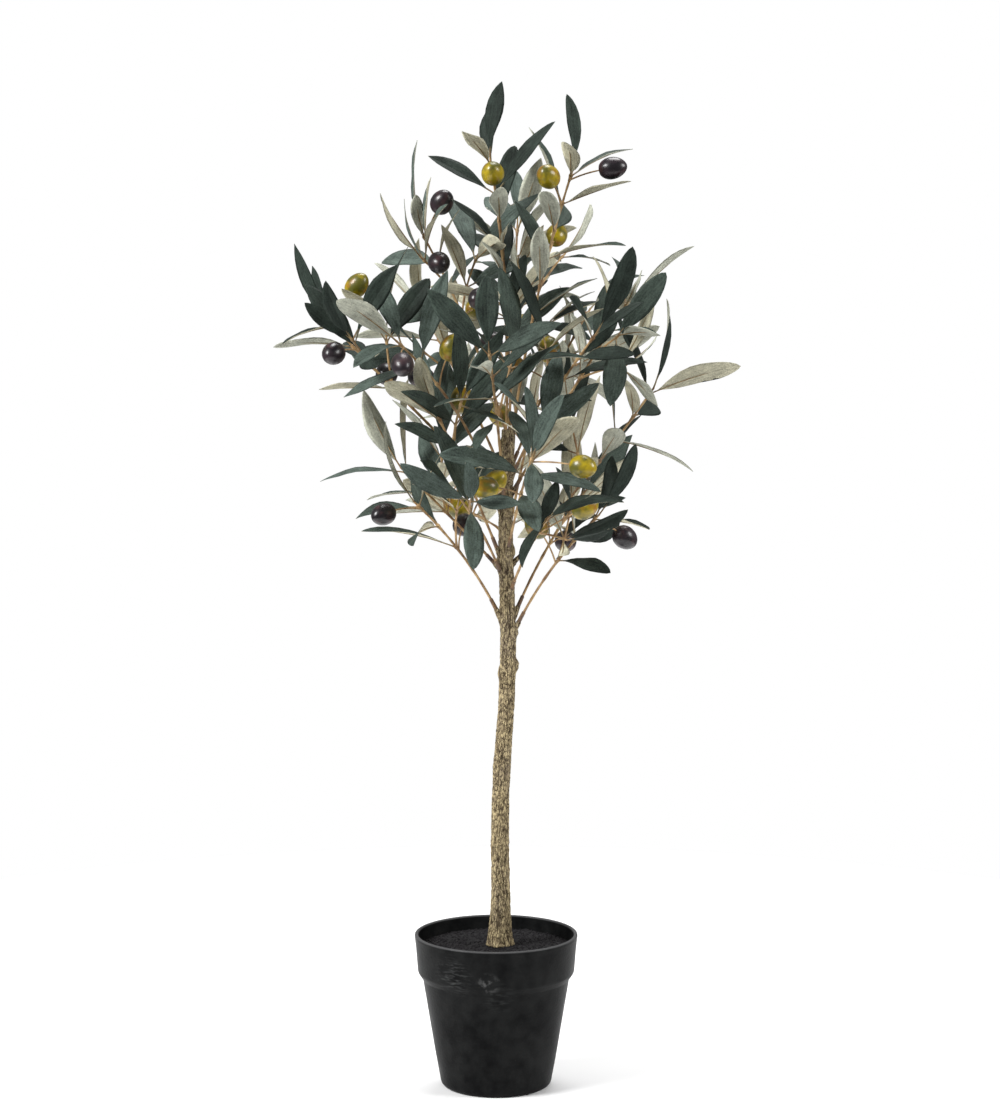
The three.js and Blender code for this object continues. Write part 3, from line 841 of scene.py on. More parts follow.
def black_plastic(settings):
    """Mottled matt plastic, scuffed on the front, with a lip rubbed smooth and lightened as a painted highlight, and a
    painted sheen from the band up.
    """
    finish = Finish("black_plastic", settings.colour, 0.4).set(Specular_IOR_Level=0.05)
    broad = finish.product(finish.speckle(22.0, detail=6.0), 0.5)
    cloud = finish.total(broad, finish.product(finish.speckle(85.0, detail=6.0), 0.5))
    streaks = finish.speckle(120.0, detail=7.0, place=finish.stretched((1.0, 1.0, 5.0)))
    band, foot, below = (finish.near(spot, reach) for spot, reach in SCUFFS)
    height = finish.node("ShaderNodeSeparateXYZ", {"Vector": finish.place}).outputs["Z"]
    dragged = finish.product(finish.between(streaks, 0.5, 0.66), finish.total(band, finish.product(below, 0.5)))
    smears = finish.product(finish.between(finish.speckle(130.0, detail=5.0), 0.5, 0.62), foot)
    lip = finish.between(height, settings.height - 0.0016, settings.height - 0.0006)
    # From the band up the pot is painted a little lighter, a painted sheen
    cloud_and_band_sheen = finish.total(cloud, finish.between(height, 0.68 * settings.height, 0.74 * settings.height, 0.0, 0.045))
    shade = finish.blend(finish.between(cloud_and_band_sheen, 0.4, 0.62), settings.colour, settings.worn_and_sheen_colour)
    shade = finish.blend(finish.product(dragged, 0.75), shade, SCUFF_GREY)
    shade = finish.blend(finish.product(smears, 0.6), shade, SMEAR_GREY)
    # The top of the lip is painted lighter all round, partly wear and partly a painted highlight
    finish.use("Base Color", finish.blend(finish.product(lip, 0.6), shade, LIP_WEAR_AND_HIGHLIGHT_GREY))
    worn = finish.total(cloud, finish.product(dragged, 0.5))
    finish.use("Roughness", finish.between(finish.total(worn, finish.product(lip, -0.6)), 0.0, 1.0, 0.24, 0.6))
    finish.bump(finish.total(finish.speckle(500.0, detail=2.0), streaks), 0.3, 0.0006)
    return finish.material


def dark_grit(settings, name, colour):
    """Dull dark grains, some of them paler."""
    finish = Finish(name, colour, 0.95).set(Specular_IOR_Level=0.25)
    grain = finish.speckle(420.0, detail=4.0)
    cloud = finish.speckle(60.0, detail=3.0)
    pale = finish.blend(finish.between(grain, 0.55, 0.72), colour, settings.grit_colour)
    finish.use("Base Color", finish.blend(finish.between(cloud, 0.3, 0.7, 0.0, 0.6), pale, PATCH_COLOUR))
    finish.bump(grain, 0.8, 0.0012)
    return finish.material


def ridged_bark(settings):
    """Small scaly plates with dark seams between them, over the broad cracks that the mesh carries."""
    finish = Finish("bark", settings.colour, 0.86).set(Specular_IOR_Level=0.25)
    crack = finish.attribute("crack")
    ridge = finish.attribute("ridge")
    wavy = finish.node("ShaderNodeTexNoise", {"Vector": finish.place, "Scale": 260.0, "Detail": 3.0}).outputs["Color"]
    wavy = finish.node("ShaderNodeVectorMath", {0: wavy, "Scale": 0.0022}, operation="SCALE").outputs["Vector"]
    bent = finish.node("ShaderNodeVectorMath", {0: finish.place, 1: wavy}, operation="ADD").outputs["Vector"]
    cells = finish.node(
        "ShaderNodeTexVoronoi",
        {"Vector": finish.stretched((1.0, 1.0, 0.34), bent), "Scale": 640.0},
        feature="DISTANCE_TO_EDGE",
    )
    seam = finish.between(cells.outputs["Distance"], 0.02, 0.12, 1.0, 0.0)
    seam = finish.product(seam, finish.between(finish.speckle(260.0, detail=3.0), 0.34, 0.52))
    cloud = finish.speckle(60.0, detail=4.0, place=finish.stretched((1.0, 1.0, 0.5)))
    fleck = finish.speckle(860.0, detail=5.0, place=finish.stretched((1.0, 1.0, 0.32)))
    height = finish.node("ShaderNodeSeparateXYZ", {"Vector": finish.place}).outputs["Z"]
    aged = finish.total(cloud, finish.between(height, 0.3, 0.42, -0.05, 0.1))
    shade = finish.blend(finish.between(aged, 0.42, 0.66), settings.colour, settings.grey_colour)
    shade = finish.blend(finish.between(fleck, 0.47, 0.6, 0.0, 0.7), shade, settings.light_colour)
    shade = finish.blend(finish.between(fleck, 0.36, 0.46, 0.55, 0.0), shade, settings.crack_colour)
    shade = finish.blend(finish.between(ridge, 0.45, 1.0, 0.0, 0.4), shade, settings.light_colour)
    shade = finish.blend(finish.product(seam, 0.85), shade, settings.crack_colour)
    finish.use("Base Color", finish.blend(finish.between(crack, 0.2, 0.8, 0.0, 0.95), shade, settings.crack_colour))
    finish.use("Roughness", finish.between(fleck, 0.3, 0.8, 0.74, 0.95))
    finish.bump(finish.total(finish.between(seam, 0.0, 1.0, 1.0, 0.0), finish.product(fleck, 0.6)), 0.7, 0.0006)
    return finish.material


def golden_plastic(name, colour, dark):
    """Satin plastic in two browns, with fine streaks."""
    finish = Finish(name, colour, 0.5).set(Specular_IOR_Level=0.4)
    cloud = finish.speckle(120.0, detail=3.0)
    streak = finish.speckle(700.0, detail=2.0, place=finish.stretched((1.0, 1.0, 0.3)))
    shade = finish.blend(finish.between(cloud, 0.38, 0.64), colour, dark)
    finish.use("Base Color", shade)
    finish.use("Roughness", finish.between(streak, 0.3, 0.7, 0.42, 0.6))
    finish.bump(streak, 0.35, 0.0004)
    return finish.material


def woven_leaf(name, colour, roughness, depth):
    """Printed fabric: a mottled colour with streaks along the leaf, and a fine weave on its own map."""
    finish = Finish(name, colour, roughness).set(Specular_IOR_Level=0.12)
    cloth = finish.node("ShaderNodeUVMap", uv_map="blade").outputs["UV"]
    warp = finish.node("ShaderNodeTexWave", {"Vector": cloth, "Scale": 560.0}, bands_direction="X").outputs["Fac"]
    weft = finish.node("ShaderNodeTexWave", {"Vector": cloth, "Scale": 560.0}, bands_direction="Y").outputs["Fac"]
    cloud = finish.total(finish.speckle(70.0, detail=4.0), finish.speckle(800.0, detail=3.0))
    streak = finish.speckle(700.0, detail=3.0, place=finish.stretched((1.0, 0.12, 1.0), cloth))
    tone = finish.between(finish.total(cloud, streak), 1.15, 1.85, 1.0 - depth, 1.0 + depth)
    grey = finish.node("ShaderNodeCombineColor", {"Red": tone, "Green": tone, "Blue": tone}).outputs["Color"]
    finish.use("Base Color", finish.blend(1.0, colour, grey, way="MULTIPLY"))
    finish.bump(finish.total(warp, weft), 0.25, 0.0002)
    return finish.material


def olive_skin(name, colour, second, blush, roughness, coat):
    """Smooth skin in three colours, with small dots and a faint coat."""
    finish = Finish(name, colour, roughness).set(Specular_IOR_Level=0.4, Coat_Weight=coat, Coat_Roughness=0.14)
    cloud = finish.speckle(62.0, detail=3.0)
    dots = finish.speckle(900.0, detail=2.0)
    shade = finish.blend(finish.between(cloud, 0.42, 0.58, 0.0, 0.9), colour, second)
    shade = finish.blend(finish.between(finish.speckle(85.0, detail=2.0), 0.54, 0.68, 0.0, 0.75), shade, blush)
    finish.use("Base Color", finish.blend(finish.between(dots, 0.62, 0.75, 0.0, 0.4), shade, second))
    finish.use("Roughness", finish.between(cloud, 0.3, 0.7, roughness - 0.06, roughness + 0.1))
    finish.bump(dots, 0.12, 0.0003)
    return finish.material


# Settings


def colour_setting(name, description, default):
    return bpy.props.FloatVectorProperty(
        name=name, description=description, default=default, subtype="COLOR", size=3, min=0.0, max=1.0
    )


def length_setting(name, description, default):
    return bpy.props.FloatProperty(
        name=name, description=description, default=default, min=0.0, unit="LENGTH", precision=4
    )


class PotSettings(bpy.types.PropertyGroup):
    """Sizes and colours of the pot and its filling"""

    height: length_setting("Height", "From the underside to the top of the lip", POT_HIGH[2])
    rim_radius: length_setting("Rim Radius", "Outside of the lip", POT_HIGH[0])
    wall: length_setting("Wall", "Thickness of the pot's wall", 0.0026)
    fill_level: length_setting("Fill Level", "Top of the filling above the underside", 0.1284)
    grain: length_setting("Grain", "Radius of the largest grit", 0.0011)
    sides: bpy.props.IntProperty(name="Sides", description="Faces round the pot", default=128, min=24)
    colour: colour_setting("Plastic", "Colour of the pot", (0.0034, 0.0036, 0.0038))
    # The worn colour also carries the painted sheen on the band and rim
    worn_and_sheen_colour: colour_setting("Worn Plastic", "Colour where the pot is worn", (0.0112, 0.0116, 0.0116))
    filling_colour: colour_setting("Filling", "Colour of the filling", (0.0064, 0.0061, 0.0066))
    grit_colour: colour_setting("Grit", "Colour of the palest grit", (0.029, 0.0268, 0.03))


class BarkSettings(bpy.types.PropertyGroup):
    """Sizes and colours of the trunk's bark"""

    crack_depth: length_setting("Crack Depth", "Depth of the deepest cracks", 0.0007)
    sides: bpy.props.IntProperty(name="Sides", description="Faces round the trunk", default=96, min=12)
    rings: bpy.props.IntProperty(name="Rings", description="Faces up the trunk", default=420, min=24)
    colour: colour_setting("Bark", "Main colour", (0.28, 0.215, 0.12))
    light_colour: colour_setting("Ridges", "Colour of the ridges", (0.64, 0.53, 0.3))
    grey_colour: colour_setting("Grey", "Weathered patches", (0.25, 0.195, 0.135))
    crack_colour: colour_setting("Cracks", "Colour inside the cracks", (0.034, 0.021, 0.01))


class StemSettings(bpy.types.PropertyGroup):
    """Sizes and colours of the boughs, stems, twigs and stalks"""

    sides: bpy.props.IntProperty(name="Sides", description="Faces round a stem", default=8, min=3)
    girth: bpy.props.FloatProperty(name="Girth", description="Thickness against the real one", default=1.0, min=0.1)
    collar_length: length_setting("Collar Length", "Length of the sleeve at each pair of leaves", 0.0075)
    colour: colour_setting("Stem", "Colour of the stems", (0.50, 0.33, 0.155))
    dark_colour: colour_setting("Dark Stem", "Colour of their darker stretches", (0.21, 0.12, 0.055))
    sleeve_colour: colour_setting("Sleeve", "Colour of the sleeves near the trunk", (0.085, 0.055, 0.045))
    rib_colour: colour_setting("Rib", "Colour of the wire on a leaf's underside", (0.26, 0.19, 0.085))


class LeafSettings(bpy.types.PropertyGroup):
    """Shape and colours of the leaves"""

    thickness: length_setting("Thickness", "Thickness of the fabric", 0.0005)
    slimness: bpy.props.FloatProperty(name="Slimness", description="Width as a share of its room", default=0.89)
    fold: bpy.props.FloatProperty(name="Fold", description="How far the halves fold up", default=0.22, min=0.0)
    wave: length_setting("Wave", "Height of the wave along the edges", 0.0007)
    twist: bpy.props.FloatProperty(
        name="Twist", description="The most that a leaf turns", default=math.radians(60.0), subtype="ANGLE"
    )
    upper: colour_setting("Upper Side", "Colour of the upper side", (0.044, 0.060, 0.049))
    # A darker copy of the upper colour, dealt to whole sprays: partly a tint, partly painted shade
    upper_tint_and_shade: colour_setting("Upper Side, Deep", "Second colour of the upper side", (0.021, 0.030, 0.024))
    # A lighter copy of the upper colour, dealt to whole sprays: partly a tint, partly a painted sheen
    upper_tint_and_sheen: colour_setting("Upper Side, Soft", "Third colour of the upper side", (0.070, 0.093, 0.079))
    under: colour_setting("Underside", "Colour of the underside", (0.45, 0.46, 0.38))
    under_warm: colour_setting("Underside, Warm", "Second colour of the underside", (0.50, 0.48, 0.36))


class OliveSettings(bpy.types.PropertyGroup):
    """Sizes and colours of the olives"""

    radius: length_setting("Radius", "Half of an olive's width", OLIVE_RADIUS * MM)
    half_length: length_setting("Half Length", "Half of an olive's length", OLIVE_HALF_LENGTH * MM)
    ripe: colour_setting("Ripe", "Colour of a ripe olive", (0.007, 0.005, 0.007))
    ripe_patch: colour_setting("Ripe Patch", "Its second colour", (0.022, 0.012, 0.017))
    ripe_blush: colour_setting("Ripe Blush", "Its third colour", (0.05, 0.02, 0.022))
    unripe: colour_setting("Unripe", "Colour of an unripe olive", (0.38, 0.28, 0.007))
    unripe_patch: colour_setting("Unripe Patch", "Its second colour", (0.06, 0.066, 0.006))
    unripe_blush: colour_setting("Unripe Blush", "Its third colour", (0.28, 0.12, 0.008))


class StudioSettings(bpy.types.PropertyGroup):
    """Floor, lights and camera"""

    floor: colour_setting("Floor", "Colour of the floor", (0.93, 0.93, 0.93))
    key_power: bpy.props.FloatProperty(name="Key Light", description="Main light", default=112.0, unit="POWER")
    fill_power: bpy.props.FloatProperty(name="Fill Light", description="Side light", default=50.0, unit="POWER")
    top_power: bpy.props.FloatProperty(name="Top Light", description="Light from above", default=46.0, unit="POWER")
    surroundings: bpy.props.FloatProperty(name="Surroundings", description="Light from all round", default=0.24)


# Pieces


def settled(piece, slot, *nodes):
    """A finished piece rides on the only body and stands for its solids; the finish's name that it is given is not
    used.
    """
    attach(piece, "root")
    if nodes:
        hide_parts(*nodes)
    return piece


class OLIVETREE_OT_pot(bpy.types.Operator):
    """Turns the black plastic pot with its rim band and rolled lip"""

    bl_idname = "olivetree.pot"
    bl_label = "Pot"

    def execute(self, context):
        settings = context.scene.olive_pot
        height, rim, wall = settings.height / MM, settings.rim_radius / MM, settings.wall / MM
        taper = 0.164
        foot = 49.7
        band, slope, band_radius = 98.0, 6.4, 70.2

        # Radius, height and rounding of each corner, up the outside and down the inside
        corners = [
            (0.0, 0.9, 0),
            (37.0, 0.9, 0.6),
            (38.2, 0.0, 0.4),
            (foot - 0.6, 0.0, 5.0),
            (foot + taper * 30, 30.0, 0),
            (foot + taper * 62, 62.0, 0),
            (foot + taper * band, band, 0.9),
            (band_radius, band + slope, 1.6),
            (rim - 1.1, height - 12.0, 0),
            (rim - 0.25, height - 4.2, 0.8),
            (rim, height - 2.6, 0.7),
            (rim, height, 1.5),
            (rim - 3.3, height, 1.4),
            (rim - 3.5, height - 6.0, 0.8),
            (band_radius - wall, band + slope, 1.5),
            (foot + taper * band - wall, band - 1.0, 1.5),
            (foot + taper * 3 - wall, 3.0, 2.0),
            (0.0, 3.0, 0),
        ]
        points, faces = lathed(rounded_outline(corners) * MM, settings.sides)
        pot = mesh_object("pot_shell", points, faces, [black_plastic(settings)])
        settled(pot, "black_plastic", "pot")
        return {"FINISHED"}


class OLIVETREE_OT_filling(bpy.types.Operator):
    """Lays the dark cast filling in the pot and strews grit on it"""

    bl_idname = "olivetree.filling"
    bl_label = "Filling"

    def execute(self, context):
        settings = context.scene.olive_pot
        level = settings.fill_level / MM
        sides = 96

        # Radii of the top's rings, and then radius and height of the rings down its side
        radii = np.concatenate([np.linspace(2.0, 64.0, 34), [66.0, 67.6, 68.7]])
        side = [(67.9, 116.0), (65.9, 104.0), (60.9, 92.0), (46.2, 6.0), (44.0, 3.4)]
        angle = np.linspace(0.0, 2.0 * math.pi, sides, endpoint=False)
        points = []
        for radius in radii:
            for a in angle:
                x, y = radius * math.cos(a), radius * math.sin(a)
                swell = noise.noise(Vector((x / 21.0, y / 21.0, 3.0))) * 1.1
                swell += noise.noise(Vector((x / 6.0, y / 6.0, 9.0))) * 0.7
                near_foot = math.exp(-(((x - TREE_FOOT[0]) / 17) ** 2 + (y / 17) ** 2))
                edge = eased((radius - 62.0) / 6.0)
                points.append((x, y, level + swell * (1 - edge * 0.7) + 1.3 * near_foot - 1.0 - 1.2 * edge))
        for radius, height in side:
            points.extend((radius * math.cos(a), radius * math.sin(a), height) for a in angle)
        rows = len(radii) + len(side)
        faces = [tuple(reversed(f)) for f in grid_faces(rows, sides, closed=True).tolist()]
        faces.extend(fan_faces(len(points), 0, sides, 1))
        faces.extend(fan_faces(len(points) + 1, (rows - 1) * sides, sides, -1))
        points.extend([(0.0, 0.0, level - 0.6), (0.0, 0.0, 3.4)])
        finish = dark_grit(settings, "dark_filling", settings.filling_colour)
        filling = mesh_object("filling_bed", np.array(points) * MM, faces, [finish])
        settled(filling, "dark_filling", "pot_filling")

        ground = [f for f in faces if max(f) < (len(radii) - 1) * sides]
        carrier = mesh_object("ground", np.array(points) * MM, ground, [finish])
        grit_finish = dark_grit(settings, "dark_grit", GRAIN_COLOUR)
        grit = grown_by(
            grit_nodes(), "filling_grit", carrier, grit_finish, Density=105000.0, Grain=settings.grain, Seed=5
        )
        settled(grit, "dark_filling")
        return {"FINISHED"}


def bark_relief(settings, u, v, height, radius):
    """How far a bark point stands out, in millimetres, how deep in a crack and how high on a ridge."""
    x, y = u * radius, v * radius
    wander = noise.noise(Vector((x / 6.0, y / 6.0, height / 40.0))) * 1.6
    broad = noise.noise(Vector(((x + wander) / 3.4, y / 3.4, height / 26.0)))
    fine = noise.noise(Vector((x / 1.5, y / 1.5 + 7.0, height / 4.2)))
    warp = noise.noise(Vector((x / 2.6 + 5.0, y / 2.6, height / 5.5)))
    apart, _ = noise.voronoi(Vector(((x + warp) / 2.1, (y + warp) / 2.1, (height + 3.0 * warp) / 5.2)))
    seam = math.exp(-(((apart[1] - apart[0]) / 0.13) ** 2))
    seam *= min(1.0, max(0.0, 0.6 + noise.noise(Vector((x / 4.0, y / 4.0, height / 9.0 + 8.0)))))
    crack = max(seam, 0.8 * math.exp(-((broad / 0.05) ** 2)))
    out = 0.75 * abs(broad) + 0.42 * fine - settings.crack_depth / MM * crack
    ridge = min(1.0, max(0.0, 0.35 + fine * 0.9 + broad * 0.5))
    return out, crack, ridge


def with_knots(radius, crack, height, bearing, base):
    """A bark point's radius and how deep it is in a crack, after the knots near it."""
    for seat, knot_bearing, width, length, stand, hollow in KNOTS:
        if abs(height - seat) > 3.0 * length:
            continue
        apart = (bearing - math.radians(knot_bearing) + math.pi) % (2.0 * math.pi) - math.pi
        away = (apart * base / width) ** 2 + ((height - seat) / length) ** 2
        radius += stand * math.exp(-away) - hollow * math.exp(-away * 6.0)
        rim = math.exp(-((math.sqrt(away) - 0.95) ** 2) / 0.05)
        crack = max(crack * (1.0 - math.exp(-away * 1.5)), hollow / 2.4 * math.exp(-away * 5.0), 0.65 * rim)
    return radius, crack


def stub_lines():
    """Bark stubs that the side boughs leave the trunk through: the path and how far along it one ends."""
    stubs = []
    for row, path in zip(BOUGHS, olive_tree().paths):
        if row.foot < TRUNK_LENGTH:
            out = trunk_radius(row.foot) / math.cos(math.radians(row.rise))
            stubs.append((path, min(row.bough - 14.0, out + 4.0 + (row.seed % 4))))
    return stubs


class Bark:
    """Bark as it is built: its points and faces, and each point's depth in a crack and height on a ridge."""

    def __init__(self, settings):
        self.settings = settings
        self.points, self.faces, self.cracks, self.ridges = [], [], [], []

    def add_point(self, point, crack, ridge):
        self.points.append(point)
        self.cracks.append(crack)
        self.ridges.append(ridge)

    def close(self, first, sides, point, crack, order):
        """Ends a tube with faces from the ring that starts at first to one middle point."""
        self.faces.extend(fan_faces(len(self.points), first, sides, order))
        self.add_point(point, crack, 0.2)

    def add_trunk(self):
        """The trunk, from its cut foot to its rounded tip."""
        rings, sides = self.settings.rings, self.settings.sides
        foot = -CONTACT_GAP
        heights = list(np.linspace(foot, TRUNK_LENGTH - 1.2, rings)) + [TRUNK_LENGTH - 0.4, TRUNK_LENGTH]
        rounding = [1.0] * rings + [0.9, 0.72]
        for height, share in zip(heights, rounding):
            centre = trunk_centre(height)
            base = float(trunk_radius(max(height, 0.0)))
            for i in range(sides):
                bearing = 2.0 * math.pi * i / sides
                u, v = math.cos(bearing), math.sin(bearing)
                out, crack, ridge = bark_relief(self.settings, u, v, height, base)
                wind = 0.035 * math.sin(height / 45.0 - 3.0 * bearing) - 0.02 * math.sin(5.0 * bearing + height / 23.0)
                radius = base * (1.0 + wind) + out - 0.25
                radius += math.exp(-height / 11.0) * 0.45 * (math.cos(4.0 * bearing + 0.8) + math.cos(7.0 * bearing))
                radius, crack = with_knots(radius, crack, height, bearing, base)
                radius *= share
                self.add_point((centre[0] + radius * u, centre[1] + radius * v, height), crack, ridge)
        self.faces.extend(grid_faces(len(heights), sides, closed=True).tolist())
        self.close(0, sides, trunk_centre(foot), 0.4, -1)
        self.close((len(heights) - 1) * sides, sides, trunk_centre(TRUNK_LENGTH), 0.4, 1)

    def add_stub(self, path, end):
        """A short tube of bark round a bough's foot, with a rounded rim."""
        sides, rows = 20, 18
        foot_radius, tip_radius = STUB_RADII
        first = len(self.points)
        stations = [2.0 + (end - 2.0) * i / (rows - 3) for i in range(rows - 2)] + [end + 0.9, end + 1.0]
        rounding = [1.0] * (rows - 2) + [0.86, 0.4]
        for s, share in zip(stations, rounding):
            centre, leaning = path.at(s), path.leaning(s)
            radius = (foot_radius + (tip_radius - foot_radius) * min(1.0, s / end)) * share
            for i in range(sides):
                turn = 2.0 * math.pi * i / sides
                out, crack, ridge = bark_relief(self.settings, math.cos(turn), math.sin(turn), path.start[2] + s, 4.0)
                reach = radius + out * 0.6 * share
                point = centre + path.side * (reach * math.cos(turn)) + leaning * (reach * math.sin(turn))
                self.add_point(point, crack if share == 1.0 else 0.75, ridge)
        quads = grid_faces(rows, sides, closed=True, first=first).tolist()
        self.faces.extend(tuple(reversed(quad)) for quad in quads)
        self.close(first, sides, path.at(stations[0]), 0.6, 1)
        self.close(first + (rows - 1) * sides, sides, path.at(stations[-1]), 0.6, -1)


class OLIVETREE_OT_trunk(bpy.types.Operator):
    """Shapes the trunk with its cracked bark, knots, root flare and the stubs that boughs leave from"""

    bl_idname = "olivetree.trunk"
    bl_label = "Trunk"

    def execute(self, context):
        settings = context.scene.olive_bark
        bark = Bark(settings)
        bark.add_trunk()
        for path, end in stub_lines():
            bark.add_stub(path, end)
        trunk = mesh_object("trunk_bark", to_metres(bark.points), bark.faces, [ridged_bark(settings)])
        for key, values in (("crack", bark.cracks), ("ridge", bark.ridges)):
            attribute = trunk.data.attributes.new(key, "FLOAT", "POINT")
            attribute.data.foreach_set("value", np.array(values, np.float32))
        settled(trunk, "bark", "trunk")
        return {"FINISHED"}


def tapered(arc, start, end, end_radii, swell, phase):
    """A stem's points and radii in metres, with a slight unevenness along it."""
    foot_radius, tip_radius = end_radii
    count = max(3, int(round((end - start) / LINE_PITCH)) + 1)
    s = np.linspace(start, end, count)
    radii = foot_radius + (tip_radius - foot_radius) * (s - start) / (end - start)
    radii = radii * (1.0 + swell * np.sin(s * 0.41 + phase) * np.sin(s * 0.13 + 2.0 * phase))
    return to_metres(arc.at(s)), radii * MM


class OLIVETREE_OT_boughs(bpy.types.Operator):
    """Draws the bare boughs from the trunk to their sprays"""

    bl_idname = "olivetree.boughs"
    bl_label = "Boughs"

    def execute(self, context):
        settings = context.scene.olive_stems
        tree = olive_tree()
        lines = []
        for number, (row, path) in enumerate(zip(BOUGHS, tree.paths)):
            # A side bough starts inside its bark stub, and a top bough inside the trunk's tip
            start = 4.0 if row.foot < TRUNK_LENGTH else -3.0
            lines.append(tapered(path, start, row.bough + 0.1, BOUGH_RADII, swell=0.1, phase=number))
        finish = golden_plastic("stem_plastic", settings.colour, settings.dark_colour)
        tube = tube_nodes()
        boughs = grown_by(tube, "boughs", lines_carrier(lines), finish, Sides=12, Girth=settings.girth)
        settled(boughs, "stem_plastic", *BOUGH_NODES)
        stations = np.array([-1.0, 0.0, 1.0, 9.0, 10.0, 11.0])
        radii = np.array([1.2, 1.75, 1.85, 1.7, 1.75, 1.2])
        sleeves = [(to_metres(path.at(stations + end)), radii * MM) for path, end in stub_lines()]
        dark = golden_plastic("sleeve_plastic", settings.sleeve_colour, settings.dark_colour)
        cuffs = grown_by(tube, "bough_sleeves", lines_carrier(sleeves), dark, Sides=12, Girth=settings.girth)
        settled(cuffs, "stem_plastic")
        return {"FINISHED"}


def collar_shape(length):
    """A sleeve with a swelling in the middle, standing on Z."""
    half = length / 2.0
    outline = [
        (0.0, -half),
        (0.001, -half),
        (0.0013, -half * 0.8),
        (0.0014, -half * 0.2),
        (0.00195, half * 0.4),
        (0.0018, half * 0.75),
        (0.0009, half),
        (0.0, half),
    ]
    points, faces = lathed(outline, 8)
    return mesh_object("collar", points, faces, [])


class OLIVETREE_OT_twigs(bpy.types.Operator):
    """Draws the stems, side twigs, olive stalks and the sleeves at the pairs of leaves"""

    bl_idname = "olivetree.twigs"
    bl_label = "Stems and Twigs"

    def execute(self, context):
        settings = context.scene.olive_stems
        tree = olive_tree()
        lines = []
        for number, (row, path) in enumerate(zip(BOUGHS, tree.paths)):
            radii = LEADER_RADII if row.name == "leader" else SPRAY_RADII
            lines.append(tapered(path, row.bough - 0.1, path.length, radii, swell=0.14, phase=number))
        for number, arc in tree.twigs:
            lines.append(tapered(arc, 0.0, arc.length, TWIG_RADII, swell=0.14, phase=number + 0.5))
        for number, stalk, _ in tree.olives:
            lines.append(tapered(stalk, 0.0, stalk.length + 1.5, STALK_RADII, swell=0.1, phase=number))
        finish = golden_plastic("twig_plastic", settings.colour, settings.dark_colour)
        stems = grown_by(
            tube_nodes(), "stems", lines_carrier(lines), finish, Sides=settings.sides, Girth=settings.girth
        )
        settled(stems, "stem_plastic")

        places, ways, sides, girths = [], [], [], []
        for arc, s, size in tree.nodes:
            places.append(to_metres(arc.at(s - 0.5)))
            ways.append(arc.heading(s))
            sides.append(arc.side)
            girths.append((size * 0.92, size, size))
        shape = collar_shape(settings.collar_length)
        collars = grown_by(
            placing_nodes(), "collars", points_carrier(places, ways, sides, girths), finish, Shape=shape, Size=1.0
        )
        bpy.data.objects.remove(shape)
        settled(collars, "stem_plastic")
        return {"FINISHED"}


# A blade's rows of points as shares of its length, and its columns as shares of its half width
BLADE_ROWS = np.array([0.05, 0.1, 0.15, 0.21, 0.3, 0.4, 0.51, 0.62, 0.73, 0.83, 0.91, 0.965, 1.0])
BLADE_COLUMNS = np.array([-1.0, -0.68, -0.34, 0.0, 0.34, 0.68, 1.0])

# How freely a leaf may bend, from its first try to its last
PLAYS = np.linspace(1.0, 3.0, 14)

# The thickness in millimetres at which leaves are tried against one another
TRIED_THICKNESS = 0.5


